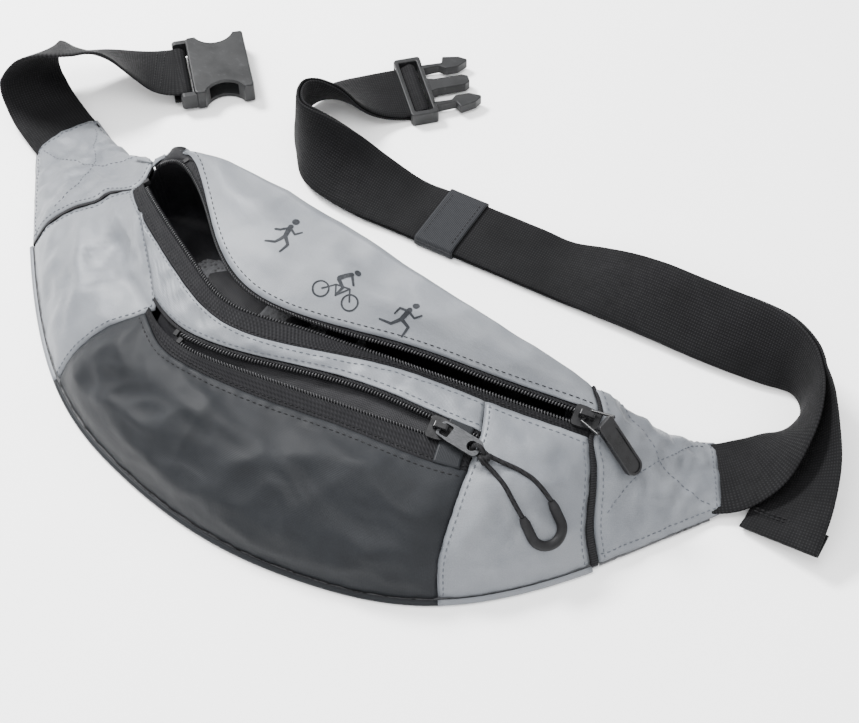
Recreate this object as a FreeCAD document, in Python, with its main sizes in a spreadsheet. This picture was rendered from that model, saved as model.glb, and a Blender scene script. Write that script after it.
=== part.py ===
import FreeCAD, Part
import math
import os
import re
import Mesh
import Sketcher

# A waist pack lying on its flat back panel, front face up, with both zips run open.
# Millimetres. The origin is on the flat back face, +X runs from wing to wing, +Y towards
# the wearer's head and +Z out of the front. The belt lies beside the pack in two pieces:
# a short one with the socket half of the buckle, and a long doubled one with the plug half.

Vec = FreeCAD.Vector
UP = Vec(0, 0, 1)

doc = FreeCAD.newDocument("WaistPack")

# ---------------------------------------------------------------- driving dimensions

SIZES = {
    # soft goods
    "fabric_thick": 1.2, "lining_thick": 0.6, "tape_thick": 1.0, "back_thick": 3.0,
    "binding_thick": 2.2, "seam_gap": 1.75, "web_width": 38.0, "web_thick": 1.8,
    "layer_gap": 0.35,
    # zip chain: coil section and the gap between the two coils
    "coil_width": 2.0, "coil_height": 1.6, "chain_gap": 4.5,
    # zip sliders
    "slider_length": 12.0, "slider_width": 11.0, "plate_thick": 1.2, "plate_lift": 1.3,
    "plate_drop": 1.7, "post_length": 3.6, "post_width": 3.0, "bridge_length": 7.0,
    "bridge_width": 2.4, "bridge_rise": 4.0, "bridge_bar": 1.2,
    # main zip pull
    "bail_length": 11.0, "bail_narrow": 5.6, "bail_wide": 10.4, "bail_radius": 0.65,
    "puller_length": 30.0, "puller_width": 9.0, "puller_thick": 3.2, "puller_bore": 1.0,
    "puller_head": 2.2, "puller_dish": 0.6, "puller_rim": 1.3,
    # pocket zip pull
    "tab_length": 22.0, "tab_width": 8.5, "tab_thick": 1.3, "tab_hole": 5.0,
    "tab_tip": 1.8, "tab_head": 1.4, "slot_long": 4.6, "slot_wide": 6.0,
    "cord_diameter": 2.2, "knot_radius": 2.7, "knot_length": 6.4,
    "grip_radius": 7.4, "grip_thick": 4.6, "grip_leg": 10.0, "grip_tip": 3.2,
    # buckle socket half
    "socket_length": 33.0, "socket_width": 47.0, "socket_height": 12.4, "socket_wall": 2.2,
    "thumb_radius": 12.0, "thumb_depth": 7.5, "eye_reach": 4.8, "cheek_width": 3.0,
    "bar_radius": 1.6,
    # buckle plug half
    "frame_back": 8.0, "frame_front": 7.4, "frame_width": 47.0, "frame_height": 8.2,
    "rail_length": 2.6, "rail_height": 2.0, "side_width": 3.2, "guide_length": 23.0,
    "guide_width": 8.4, "guide_height": 6.0, "prong_length": 26.0, "prong_width": 3.4,
    "prong_height": 5.6, "prong_offset": 15.4, "root_gap": 0.3,
    # elastic keeper on the doubled belt
    "keeper_length": 23.0, "keeper_thick": 1.1, "keeper_gap": 0.35,
    # thickness of the zip end patch and of the small clips that end each coil
    "patch_thick": 0.6, "clip_length": 2.4, "clip_width": 2.8, "clip_height": 2.2,
}

sheet = doc.addObject("Spreadsheet::Sheet", "Sheet")
for row, (alias, value) in enumerate(SIZES.items(), start=1):
    sheet.set(f"A{row}", alias)
    sheet.set(f"B{row}", str(value))
    sheet.setAlias(f"B{row}", alias)
doc.recompute()


def size(alias):
    """A driving dimension, read from the sheet."""
    return float(sheet.get(alias))


nodes = []


def keep(obj, label):
    """Marks a document object as one finished sub-part with its own label."""
    obj.Label = label
    nodes.append(obj)
    return obj


def frame_at(origin, forward, upward):
    """Placement whose local X is forward and whose local Z is as near upward as it can be."""
    x_axis = Vec(*forward).normalize()
    y_axis = Vec(*upward).cross(x_axis).normalize()
    z_axis = x_axis.cross(y_axis)
    turn = FreeCAD.Rotation(x_axis, y_axis, z_axis, "ZXY")
    return FreeCAD.Placement(Vec(*origin), turn)


# ---------------------------------------------------------------- thin shells from grids

def faceted_solid(outer, inner):
    """Closed solid between two equal grids of points, with every quad cut along one diagonal.

    Neighbours that share a row of points meet face to face, because the rim is cut the same
    way on both.
    """
    facets = []
    rows, cols = len(outer), len(outer[0])

    def quad(a, b, c, d):
        facets.append([a, b, c])
        facets.append([a, c, d])

    for i in range(rows - 1):
        for j in range(cols - 1):
            quad(outer[i][j], outer[i][j + 1], outer[i + 1][j + 1], outer[i + 1][j])
            quad(inner[i][j], inner[i + 1][j], inner[i + 1][j + 1], inner[i][j + 1])
    for j in range(cols - 1):
        facets.append([outer[0][j], inner[0][j + 1], outer[0][j + 1]])
        facets.append([outer[0][j], inner[0][j], inner[0][j + 1]])
        facets.append([outer[-1][j], outer[-1][j + 1], inner[-1][j + 1]])
        facets.append([outer[-1][j], inner[-1][j + 1], inner[-1][j]])
    for i in range(rows - 1):
        facets.append([outer[i][0], outer[i + 1][0], inner[i + 1][0]])
        facets.append([outer[i][0], inner[i + 1][0], inner[i][0]])
        facets.append([outer[i][-1], inner[i + 1][-1], outer[i + 1][-1]])
        facets.append([outer[i][-1], inner[i][-1], inner[i + 1][-1]])
    mesh = Mesh.Mesh([point for facet in facets for point in facet])
    shell = Part.Shape()
    shell.makeShapeFromMesh(mesh.Topology, 0.01)
    solid = Part.Solid(Part.Shell(shell.Faces))
    if solid.Volume < 0:
        solid.reverse()
    return solid


def soft(label, shape):
    """A soft sub-part, whose shape comes from the grids below."""
    feature = doc.addObject("Part::Feature", label)
    feature.Shape = shape
    return keep(feature, label)


# ---------------------------------------------------------------- seam and edge lines

# Each line runs from the left wing seam to the right wing seam through seven knots, one
# every four stations. STATIONS counts the columns of the grid.
STATIONS = 24
DARK_LEFT, DARK_RIGHT = 4, 20
KNOTS = [i / 6 for i in range(7)]

LINES = {
    "foot": [(-168, 12, 3), (-98, -47, 3), (-40, -69, 3), (15, -75, 3), (68, -68, 3),
             (122, -45, 3), (171, 10, 3)],
    "belly": [(-161, 19, 17), (-91, -38, 20), (-38, -60, 21), (13, -66, 22), (64, -58, 22),
              (117, -37, 21), (163, 17, 16)],
    "chest": [(-150, 28, 27), (-80, -25, 33), (-36, -41, 35), (9, -41, 36), (60, -34, 36),
              (113, -20, 34), (157, 28, 26)],
    "pocket_lip": [(-138, 34, 34), (-67, -11, 38), (-38, -25, 39.5), (7, -22, 40),
                   (56, -13.5, 41), (109, -3, 41), (152, 36, 33)],
    "strip_foot": [(-134, 40, 37), (-67, -3, 42), (-34, -11.5, 44), (-0.5, -4.5, 44.6),
                   (50.2, 9.5, 45.2), (104, 16, 44.8), (149, 39, 36.5)],
    "main_lip": [(-119, 45, 44), (-104, 31, 48), (-57, 7, 49.5), (-12, -0.5, 49.2),
                 (46.2, 20.5, 46.4), (96, 31.4, 43.5), (145.8, 42.4, 40.6)],
    "upper_lip": [(-121, 59.5, 45), (-100, 68, 57), (-66, 41, 55.5), (-19, 18.5, 52.5),
                  (43.2, 34.1, 48), (93, 45, 45.2), (142.8, 56, 42.2)],
    "upper_mid": [(-122, 61.3, 45.5), (-99.5, 69.7, 58), (-62.5, 57.5, 60), (-14.5, 44, 59),
                  (43.5, 49.5, 56.5), (94, 54, 52.5), (138.5, 61, 43)],
    "crown": [(-123, 63, 45), (-99, 71, 58), (-58, 73, 60), (-9, 70, 61), (44, 64.5, 60),
              (94, 62.5, 55.5), (133, 66, 43)],
    "rear_mid": [(-125.5, 67.5, 25), (-98, 77.5, 32), (-57, 80, 33), (-8, 78.5, 33),
                 (44, 74.5, 33), (94, 71, 31), (136, 69.5, 24)],
    "rear": [(-126, 68, 3), (-97, 77, 3), (-56, 80, 3), (-8, 79, 3), (44, 76, 3),
             (94, 72, 3), (136, 69, 3)],
}

# The zip chains are straight where their sliders run: from (station, point) to (station,
# point). Left of that each chain bends with the mouth of its opening.
MAIN_RUN = [(13, Vec(8, 16, 49)), (24, Vec(145, 46, 41))]
POCKET_RUN = [(11, Vec(-12, -17, 42.3)), (20, Vec(106, 5.7, 43))]
MAIN_BEND = [(0, Vec(-117.5, 50, 45.3)), (4, Vec(-99, 37, 49.7)), (8, Vec(-53, 14.5, 51)),
             (11, Vec(-21, 8, 50.6))]
POCKET_BEND = [(4, Vec(-66.8, -8.2, 39.6)), (6, Vec(-52, -15.5, 40.6)),
               (8, Vec(-36, -19, 41.4))]


def along(points, knots):
    """A smooth curve through hand-placed points, as a function of the knot value."""
    spline = Part.BSplineCurve()
    spline.interpolate(Points=[Vec(*p) for p in points], Parameters=knots)
    return spline.value


def chain_line(bend, run):
    """Centre line of one coil: smooth up to the start of its run, and straight after it."""
    (first, start), (last, end) = run
    knots = [station for station, point in bend] + [first]
    lead = start + (end - start) / (last - first)
    curve = along([point for station, point in bend] + [start, lead], knots + [first + 1])

    def point_at(station):
        if station <= first:
            return curve(station)
        return start + (end - start) * ((station - first) / (last - first))
    return point_at


line_curves = {name: along(points, KNOTS) for name, points in LINES.items()}
main_coil = chain_line(MAIN_BEND, MAIN_RUN)
pocket_coil = chain_line(POCKET_BEND, POCKET_RUN)

far_tape_width = 1.75


def line_point(name, station):
    """A point of a named line at a station. The two far coils keep to their own lip."""
    if name == "main_coil":
        return main_coil(station)
    if name == "pocket_coil":
        return pocket_coil(station)
    if name == "main_far_coil":
        lip, mouth = line_point("upper_lip", station), line_point("main_coil", station)
        return lip + (mouth - lip).normalize() * far_tape_width
    if name == "pocket_far_coil":
        lip, mouth = line_point("strip_foot", station), line_point("pocket_lip", station)
        return lip + (mouth - lip).normalize() * far_tape_width
    return line_curves[name](station / STATIONS)


# The lines in the order that they follow round the skin, which gives each point's normal.
SKIN = ["foot", "belly", "chest", "pocket_lip", "strip_foot", "main_lip", "main_coil",
        "main_far_coil", "upper_lip", "upper_mid", "crown", "rear_mid", "rear"]
CHAIN_NEIGHBOURS = {"pocket_coil": ("pocket_lip", "strip_foot"),
                    "pocket_far_coil": ("pocket_lip", "strip_foot")}


def skin_normal(name, station):
    """Outward normal of the skin at a point of a line."""
    if name in CHAIN_NEIGHBOURS:
        before, after = CHAIN_NEIGHBOURS[name]
    else:
        place = SKIN.index(name)
        before = SKIN[max(place - 1, 0)]
        after = SKIN[min(place + 1, len(SKIN) - 1)]
    step = 0.25
    left, right = max(station - step, 0), min(station + step, STATIONS)
    run = line_point(name, right) - line_point(name, left)
    rise = line_point(after, station) - line_point(before, station)
    normal = run.cross(rise)
    if name in ("foot", "rear"):
        normal.z = 0
    return normal.normalize()


def skin_piece(names, stations, outside, inside):
    """A thin solid that follows the skin over some lines and stations."""
    outer, inner = [], []
    for name in names:
        points = [line_point(name, s) for s in stations]
        normals = [skin_normal(name, s) for s in stations]
        outer.append([p + n * outside for p, n in zip(points, normals)])
        inner.append([p - n * inside for p, n in zip(points, normals)])
    return faceted_solid(outer, inner)


FINE = 0.5


def station_list(first, last):
    """Stations from first to last by way of every half station, which all pieces share."""
    between = [i * FINE for i in range(round(STATIONS / FINE) + 1)]
    return [first] + [s for s in between if first < s < last] + [last]


SEAM_BAND = 0.3
MAIN_LOWER_START, MAIN_UPPER_START = 2, 4
POCKET_LOWER_START, POCKET_UPPER_START = 7.6, 7
LEFT_END, RIGHT_END = SEAM_BAND, STATIONS - SEAM_BAND
FRONT = ["foot", "belly", "chest", "pocket_lip", "strip_foot", "main_lip"]
fabric = size("fabric_thick")
tape = size("tape_thick")

soft("pocket_panel", skin_piece(FRONT[:4], station_list(DARK_LEFT, DARK_RIGHT), 0, fabric))
soft("left_side_panel", skin_piece(FRONT, station_list(LEFT_END, DARK_LEFT), 0, fabric))
soft("right_side_panel", skin_piece(FRONT, station_list(DARK_RIGHT, RIGHT_END), 0, fabric))
soft("front_strip", skin_piece(FRONT[4:], station_list(DARK_LEFT, DARK_RIGHT), 0, fabric))
soft("upper_panel", skin_piece(["upper_lip", "upper_mid", "crown"],
                               station_list(LEFT_END, RIGHT_END), 0, fabric))
soft("top_gusset", skin_piece(["crown", "rear_mid", "rear"],
                              station_list(LEFT_END, RIGHT_END), 0, fabric))
soft("main_tape_lower", skin_piece(["main_lip", "main_coil"],
                                   station_list(LEFT_END, RIGHT_END), 0, tape))
soft("main_tape_upper", skin_piece(["main_far_coil", "upper_lip"],
                                   station_list(MAIN_UPPER_START, RIGHT_END), 0, tape))
soft("pocket_tape_lower", skin_piece(["pocket_lip", "pocket_coil"],
                                     station_list(DARK_LEFT, DARK_RIGHT), 0, tape))
soft("pocket_tape_upper", skin_piece(["pocket_far_coil", "strip_foot"],
                                     station_list(DARK_LEFT, DARK_RIGHT), 0, tape))
for side, ends in (("left", (0, LEFT_END)), ("right", (RIGHT_END, STATIONS))):
    band = skin_piece(SKIN[:11], list(ends), size("binding_thick") - fabric, fabric)
    soft(side + "_seam_binding", band)


def back_outline(first, last):
    """Outline of the flat back: along the foot line and home along the rear line."""
    stations = station_list(first, last)
    there = [line_point("foot", s) for s in stations]
    home = [line_point("rear", s) for s in reversed(stations)]
    return [Vec(p.x, p.y, 0) for p in there + home]


def slab(outline, bottom, thickness):
    """Flat solid on a closed outline."""
    ring = [Vec(p.x, p.y, bottom) for p in outline]
    face = Part.Face(Part.makePolygon(ring + ring[:1]))
    return face.extrude(UP * thickness)


back = size("back_thick")
soft("back_panel", slab(back_outline(0, STATIONS), 0, back))


def edge_strip(name, width, height):
    """Binding along the foot or rear line, outside the edge of the back panel."""
    stations = station_list(LEFT_END, RIGHT_END)
    points = [line_point(name, s) for s in stations]
    normals = [skin_normal(name, s) for s in stations]
    rows = []
    for offset in (width, 0):
        base = [Vec(p.x, p.y, 0) + n * offset for p, n in zip(points, normals)]
        rows.append([base, [q + UP * height for q in base]])
    return faceted_solid(rows[0], rows[1])


BINDING_WIDTH = 1.8
soft("lower_edge_binding", edge_strip("foot", BINDING_WIDTH, back))
soft("upper_edge_binding", edge_strip("rear", BINDING_WIDTH, back))

# ---------------------------------------------------------------- inner pieces

def inner_piece(rows, stations, thickness):
    """Thin solid through rows of points. Each row is a function of the station."""
    grid = [[row(s) for s in stations] for row in rows]
    outer, inner = [], []
    for i, line in enumerate(grid):
        before, after = grid[max(i - 1, 0)], grid[min(i + 1, len(grid) - 1)]
        outer_line, inner_line = [], []
        for j, point in enumerate(line):
            run = line[min(j + 1, len(line) - 1)] - line[max(j - 1, 0)]
            normal = run.cross(after[j] - before[j]).normalize()
            outer_line.append(point)
            inner_line.append(point - normal * thickness)
        outer.append(outer_line)
        inner.append(inner_line)
    return faceted_solid(outer, inner)


def inside_skin(name, depth, shift=Vec(0, 0, 0)):
    """Row function: a line of the skin moved inwards by depth, then shifted."""
    return lambda s: line_point(name, s) - skin_normal(name, s) * depth + shift


POCKET_DEPTH = 11.0
LINING_GAP = 2.2
FLOOR_RISE = Vec(0, 0, back + 1.0)


def on_floor(name, inset):
    """Row function: a foot or rear line moved in along the floor of the compartment."""
    def point_at(s):
        base = line_point(name, s) - skin_normal(name, s) * inset
        return Vec(base.x, base.y, FLOOR_RISE.z)
    return point_at


lining = size("lining_thick")
divider_rows = [on_floor("foot", POCKET_DEPTH + 3), inside_skin("belly", POCKET_DEPTH + 2),
                inside_skin("chest", POCKET_DEPTH), inside_skin("pocket_lip", 8),
                inside_skin("strip_foot", 3.8)]
soft("pocket_back", inner_piece(divider_rows, station_list(DARK_LEFT + 0.5, DARK_RIGHT - 0.5),
                                lining))
lining_rows = [inside_skin("main_lip", fabric + 0.6), inside_skin("strip_foot", fabric + 4),
               inside_skin("pocket_lip", 8 + LINING_GAP + 2),
               inside_skin("chest", POCKET_DEPTH + LINING_GAP),
               inside_skin("belly", POCKET_DEPTH + 2 + LINING_GAP),
               on_floor("foot", POCKET_DEPTH + 6 + LINING_GAP),
               on_floor("rear", 6), inside_skin("rear_mid", 4), inside_skin("crown", 5),
               inside_skin("upper_mid", fabric + 1.6), inside_skin("upper_lip", fabric + 0.6)]
soft("main_lining", inner_piece(lining_rows, station_list(3, 21), lining))

# ---------------------------------------------------------------- zip coils and stops

def tube_along(points, ups, width, height):
    """Solid of rectangular section that follows points, standing on the given normals."""
    last = len(points) - 1
    rings = []
    for i, (point, up) in enumerate(zip(points, ups)):
        ahead = (points[min(i + 1, last)] - points[max(i - 1, 0)]).normalize()
        side = up.cross(ahead).normalize()
        rise = ahead.cross(side)
        half_side, half_rise = side * (width / 2), rise * (height / 2)
        rings.append([point + half_side + half_rise, point - half_side + half_rise,
                      point - half_side - half_rise, point + half_side - half_rise])
    outer = [[ring[0], ring[1]] for ring in rings]
    inner = [[ring[3], ring[2]] for ring in rings]
    return faceted_solid(outer, inner)


def coil(label, name, lip, stations):
    """A coil just past the free edge of its tape, half a coil width from it."""
    points, ups = [], []
    for s in stations:
        edge, normal = line_point(name, s), skin_normal(name, s)
        away = (edge - line_point(lip, s)).normalize()
        points.append(edge + away * (size("coil_width") / 2) - normal * (tape / 2))
        ups.append(normal)
    return soft(label, tube_along(points, ups, size("coil_width"), size("coil_height")))


coil("main_coil_lower", "main_coil", "main_lip", station_list(MAIN_LOWER_START, RIGHT_END))
coil("main_coil_upper", "main_far_coil", "upper_lip", station_list(MAIN_UPPER_START, RIGHT_END))
coil("pocket_coil_lower", "pocket_coil", "pocket_lip",
     station_list(POCKET_LOWER_START, DARK_RIGHT))
coil("pocket_coil_upper", "pocket_far_coil", "strip_foot",
     station_list(POCKET_UPPER_START, DARK_RIGHT))


# ---------------------------------------------------------------- wings

# A wing tapers from the wing seam to the end where the belt is sewn in. Its hinge line is
# the lower edge of the seam. WING_ENDS gives the two corners of the belt end.
WING_ENDS = {
    "left": (0, [Vec(-207, 61, back), Vec(-195, 95, back)]),
    "right": (STATIONS, [Vec(199, 61, back), Vec(180, 92, back)]),
}
WING_LINES = SKIN[:6] + SKIN[8:]
WING_STEPS = [0, 0.16, 0.36, 0.6, 0.82, 1]
END_RISE = 2.6


def wing_outward(side):
    """Horizontal unit vector out of the pack, square to the wing seam at the floor."""
    station = WING_ENDS[side][0]
    seam = line_point("rear", station) - line_point("foot", station)
    outward = Vec(seam.y, -seam.x, 0).normalize()
    return outward if side == "right" else -outward


def wing_point(side, share, reach, lift=0.0):
    """Skin of a wing: share runs from the foot line to the rear line, reach to the belt end."""
    station, (low, high) = WING_ENDS[side]
    name = WING_LINES[share]
    start = line_point(name, station) + wing_outward(side) * size("seam_gap")
    fraction = share / (len(WING_LINES) - 1)
    end = low + (high - low) * fraction + UP * (END_RISE * math.sin(math.pi * fraction))
    point = start + (end - start) * reach
    drop = (start.z - end.z) * 0.55 * reach * (1 - reach)
    return Vec(point.x, point.y, max(point.z - drop, back))


def wing_shell(side):
    grid = [[wing_point(side, share, reach) for reach in WING_STEPS]
            for share in range(len(WING_LINES))]
    inner = []
    for i, row in enumerate(grid):
        inner_row = []
        for j, point in enumerate(row):
            across = grid[min(i + 1, len(grid) - 1)][j] - grid[max(i - 1, 0)][j]
            onward = row[min(j + 1, len(row) - 1)] - row[max(j - 1, 0)]
            normal = onward.cross(across).normalize()
            normal = normal if side == "right" else -normal
            if i in (0, len(grid) - 1):
                normal.z = 0
                normal.normalize()
            deeper = point - normal * fabric
            inner_row.append(Vec(deeper.x, deeper.y, max(deeper.z, back)))
        inner.append(inner_row)
    return faceted_solid(grid, inner) if side == "right" else faceted_solid(inner, grid)


for side in ("left", "right"):
    soft(side + "_wing", wing_shell(side))
    last_share = len(WING_LINES) - 1
    outline = [wing_point(side, 0, 0), wing_point(side, 0, 1),
               wing_point(side, last_share, 1), wing_point(side, last_share, 0)]
    soft(side + "_wing_back", slab(outline, 0, back))

# ---------------------------------------------------------------- belt webbing

half_web, half_thick = size("web_width") / 2, size("web_thick") / 2


def ribbon(stations, label):
    """Webbing through stations of (centre, unit width vector, unit thickness vector, thickness)."""
    outer, inner = [[], []], [[], []]
    for centre, across, through, thick in stations:
        for edge, sign in ((0, -1), (1, 1)):
            rim = centre + across * (half_web * sign)
            outer[edge].append(rim + through * (thick / 2))
            inner[edge].append(rim - through * (thick / 2))
    return soft(label, faceted_solid(outer, inner))


def spread(points, count):
    """Points of a smooth curve through the given ones, count of them between each pair."""
    result = []
    for i in range(len(points) - 1):
        before, start = points[max(i - 1, 0)], points[i]
        end, after = points[i + 1], points[min(i + 2, len(points) - 1)]
        for step in range(count):
            f = step / count
            bend = (before * 2 - start * 5 + end * 4 - after) * (f * f)
            turn = (start * 3 - before - end * 3 + after) * (f * f * f)
            result.append((start * 2 + (end - before) * f + bend + turn) * 0.5)
    return result + [points[-1]]


def square_frames(centres, widths):
    """Webbing stations whose width is square to the path and whose thickness is square to both."""
    frames, last = [], len(centres) - 1
    for i, (centre, width) in enumerate(zip(centres, widths)):
        ahead = (centres[min(i + 1, last)] - centres[max(i - 1, 0)]).normalize()
        across = (width - ahead * width.dot(ahead)).normalize()
        frames.append((centre, across, ahead.cross(across), size("web_thick")))
    return frames


def wrap(centre, ahead, across, through, turn):
    """Half a turn of webbing round a bar: from the through side, over the front, to the back."""
    radius = size("bar_radius") + size("layer_gap") + half_thick
    stations = []
    for i in range(7):
        angle = math.pi * i / 6
        outward = through * math.cos(angle) + ahead * math.sin(angle)
        stations.append((centre + outward * radius, across, outward * turn, size("web_thick")))
    return stations


# The socket half: its rear bar, which the short belt wraps.
SOCKET_BAR = Vec(-183, 152, 6.9)
SOCKET_AHEAD = Vec(0.687, 0.727, 0).normalize()
SOCKET_ACROSS = Vec(0.727, -0.687, 0).normalize()
wrap_radius = size("bar_radius") + size("layer_gap") + half_thick

# Path of the short belt: centre and width direction at each knot, from the left wing, up
# and over its curl and down to the socket.
SHORT_PATH = [((-201.9, 78.3, 4.1), (-0.33, -0.943, 0)), ((-216, 83.5, 4.3), (-0.31, -0.95, 0)),
              ((-232, 90, 7), (-0.27, -0.96, 0)), ((-243, 96, 17), (-0.2, -0.97, 0.05)),
              ((-240, 101, 29), (-0.12, -0.98, 0.15)), ((-231, 109, 33.5), (0.05, -0.9, 0.4)),
              ((-219, 121, 28), (0.33, -0.62, 0.7)), ((-207, 133, 18), (0.52, -0.72, 0.45)),
              ((-196, 141.6, 11.3), (0.66, -0.73, 0.12))]
short_end = SOCKET_BAR + UP * wrap_radius
short_centres = [Vec(*p) for p, w in SHORT_PATH] + [short_end - SOCKET_AHEAD * 5, short_end]
short_widths = [Vec(*w) for p, w in SHORT_PATH] + [SOCKET_ACROSS, SOCKET_ACROSS]
frames = square_frames(spread(short_centres, 3), spread(short_widths, 3))
frames[-1] = (short_end, SOCKET_ACROSS, SOCKET_AHEAD.cross(SOCKET_ACROSS), size("web_thick"))
turned = frames[-1][2].dot(UP)
frames += wrap(SOCKET_BAR, SOCKET_AHEAD, SOCKET_ACROSS, UP, turned)[1:]
tail_start = SOCKET_BAR - UP * wrap_radius
for reach in (4, 11, 18):
    frames.append((tail_start - SOCKET_AHEAD * reach, SOCKET_ACROSS, UP * -turned, size("web_thick")))
ribbon(frames, "left_belt")

# The plug half: its centre bar, which the long belt wraps.
PLUG_BAR = Vec(-68, 217, 4.3)
PLUG_AHEAD = Vec(0.67, 0.745, 0).normalize()
PLUG_RIGHT = Vec(PLUG_AHEAD.y, -PLUG_AHEAD.x, 0)

# Path of the long belt on the floor from the right wing to the plug: x, y and the angle that
# its right-hand edge is raised by. It stands on its left edge where it turns.
LONG_PATH = [(199, 83, 4), (208, 94, 22), (213, 108, 50), (214, 122, 72), (210, 137, 86),
             (199, 147, 82), (179, 150, 56), (150, 150, 40), (118, 150, 30), (90, 150, 14),
             (66, 148.9, 0), (48, 147.6, 0), (30, 146.3, 0), (12, 145, 0), (-6, 143.7, 0),
             (-24, 142.4, 0), (-50, 139, 20),
             (-74, 137, 54), (-93, 143, 84), (-103, 157, 80), (-101, 174, 46),
             (-93, 188, 20), (-84, 199, 6)]
# Path of the free tail, from where it leaves the other layer to its hemmed end.
TAIL_PATH = [(218, 128, 78), (223, 113, 62), (228, 97, 46), (231, 80, 30), (232, 62, 14)]
FLOOR_GAP = 1.5


def raised(path, under):
    """Centres and width vectors of a belt that lies on its left edge on the floor."""
    centres, widths = [], []
    for i, (x, y, tilt) in enumerate(path):
        before, after = path[max(i - 1, 0)], path[min(i + 1, len(path) - 1)]
        ahead = Vec(after[0] - before[0], after[1] - before[1], 0).normalize()
        angle = math.radians(tilt)
        right = Vec(ahead.y, -ahead.x, 0)
        widths.append(right * math.cos(angle) + UP * math.sin(angle))
        rise = FLOOR_GAP + half_web * math.sin(angle) + (half_thick + under) * math.cos(angle)
        centres.append(Vec(x, y, rise))
    return centres, widths


layer_step = size("web_thick") + size("layer_gap")
centres, widths = raised(LONG_PATH, layer_step)
wing_exit = Vec(190.3, 76.8, 4.1)
plug_top = PLUG_BAR + UP * wrap_radius
under_rail = [PLUG_BAR - PLUG_AHEAD * 12 + UP * 0.2, PLUG_BAR - PLUG_AHEAD * 5.8 + UP * 0.4]
centres = [wing_exit] + centres + under_rail + [plug_top]
widths = [Vec(0.523, -0.852, 0)] + widths + [PLUG_RIGHT] * 3
main_frames = square_frames(spread(centres, 3), spread(widths, 3))
main_frames[-1] = (plug_top, PLUG_RIGHT, PLUG_AHEAD.cross(PLUG_RIGHT), size("web_thick"))
over = main_frames[-1][2].dot(UP)
LEAVE = 3 * 5
back_frames = [(c + t * layer_step, w, t * -1, size("web_thick"))
               for c, w, t, thick in main_frames[LEAVE:-6]]
tail_centres, tail_widths = raised([(x, y, tilt) for x, y, tilt in reversed(TAIL_PATH)], 0)
tail_centres.reverse()
tail_widths.reverse()
join = back_frames[0]
tail_line = spread([join[0]] + tail_centres, 3)
tail_across = spread([join[1]] + tail_widths, 3)
tail_frames = square_frames(tail_line, tail_across)[1:]
wrapped = wrap(PLUG_BAR, PLUG_AHEAD, PLUG_RIGHT, UP, over)[1:]
long_belt = main_frames + wrapped + list(reversed(back_frames)) + tail_frames
ribbon(long_belt, "right_belt")


# ---------------------------------------------------------------- small zip pieces

def clip(label, name, lip, station):
    """Small metal clip that ends a coil, half a millimetre past the coil's first turn."""
    point, normal = line_point(name, station), skin_normal(name, station)
    away = (point - line_point(lip, station)).normalize()
    ahead = (line_point(name, station + 0.1) - point).normalize()
    centre = point + away * (size("clip_width") / 2 + 0.4) - normal * (tape / 2)
    ends = [centre - ahead * (size("clip_length") + 0.4), centre - ahead * 0.6]
    return soft(label, tube_along(ends, [normal, normal], size("clip_width"), size("clip_height")))


clip("main_stop_lower", "main_coil", "main_lip", MAIN_LOWER_START)
clip("main_stop_upper", "main_far_coil", "upper_lip", MAIN_UPPER_START)
clip("pocket_stop_lower", "pocket_coil", "pocket_lip", POCKET_LOWER_START)
clip("pocket_stop_upper", "pocket_far_coil", "strip_foot", POCKET_UPPER_START)

# A fabric patch is sewn over the right-hand end of the pocket zip, clear above its coils.
PATCH_LIFT, PATCH_START, PATCH_END = 0.4, 19.26, 19.75
patch_lines = ["pocket_lip", "pocket_coil", "pocket_far_coil", "strip_foot"]
soft("pocket_zip_patch", skin_piece(patch_lines, station_list(PATCH_START, PATCH_END),
                                    PATCH_LIFT + size("patch_thick"), -PATCH_LIFT))

# ---------------------------------------------------------------- moulded and metal pieces

def linked(text):
    """An expression whose size names refer to the sheet."""
    return re.sub("[a-z]+_[a-z]+", lambda name: "Sheet." + name.group(), str(text))


def place(obj, corner):
    for axis, text in zip("xyz", corner):
        obj.setExpression("Placement.Base." + axis, linked(text))
    return obj


def block(sides, corner):
    """Box from expressions for its three sides and its lowest corner."""
    obj = doc.addObject("Part::Box", "Block")
    for name, text in zip(("Length", "Width", "Height"), sides):
        obj.setExpression(name, linked(text))
    return place(obj, corner)


TURNS = {"X": FreeCAD.Rotation(Vec(0, 1, 0), 90), "Y": FreeCAD.Rotation(Vec(1, 0, 0), -90),
         "Z": FreeCAD.Rotation()}


def rod(radius, length, start, axis):
    """Cylinder along an axis, from expressions for its radius, length and start point."""
    obj = doc.addObject("Part::Cylinder", "Rod")
    obj.setExpression("Radius", linked(radius))
    obj.setExpression("Height", linked(length))
    obj.Placement = FreeCAD.Placement(Vec(), TURNS[axis])
    return place(obj, start)


def ball(radius, centre):
    obj = doc.addObject("Part::Sphere", "Ball")
    obj.setExpression("Radius", linked(radius))
    return place(obj, centre)


def joined(*objs):
    union = doc.addObject("Part::MultiFuse", "Joined")
    union.Shapes = list(objs)
    return union


def without(base, *tools):
    cut = doc.addObject("Part::Cut", "Trimmed")
    cut.Base = base
    cut.Tool = tools[0] if len(tools) == 1 else joined(*tools)
    return cut


def softened(obj, radius, pick):
    """Rounds the edges of obj that pick chooses."""
    doc.recompute()
    rounding = doc.addObject("Part::Fillet", "Softened")
    rounding.Base = obj
    rounding.Edges = [(i, radius, radius) for i, edge in enumerate(obj.Shape.Edges, start=1)
                      if pick(edge)]
    return rounding


def level(edge, height):
    """True where a whole edge lies at one height."""
    box = edge.BoundBox
    return abs(box.ZMin - height) < 1e-4 and abs(box.ZMax - height) < 1e-4


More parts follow.
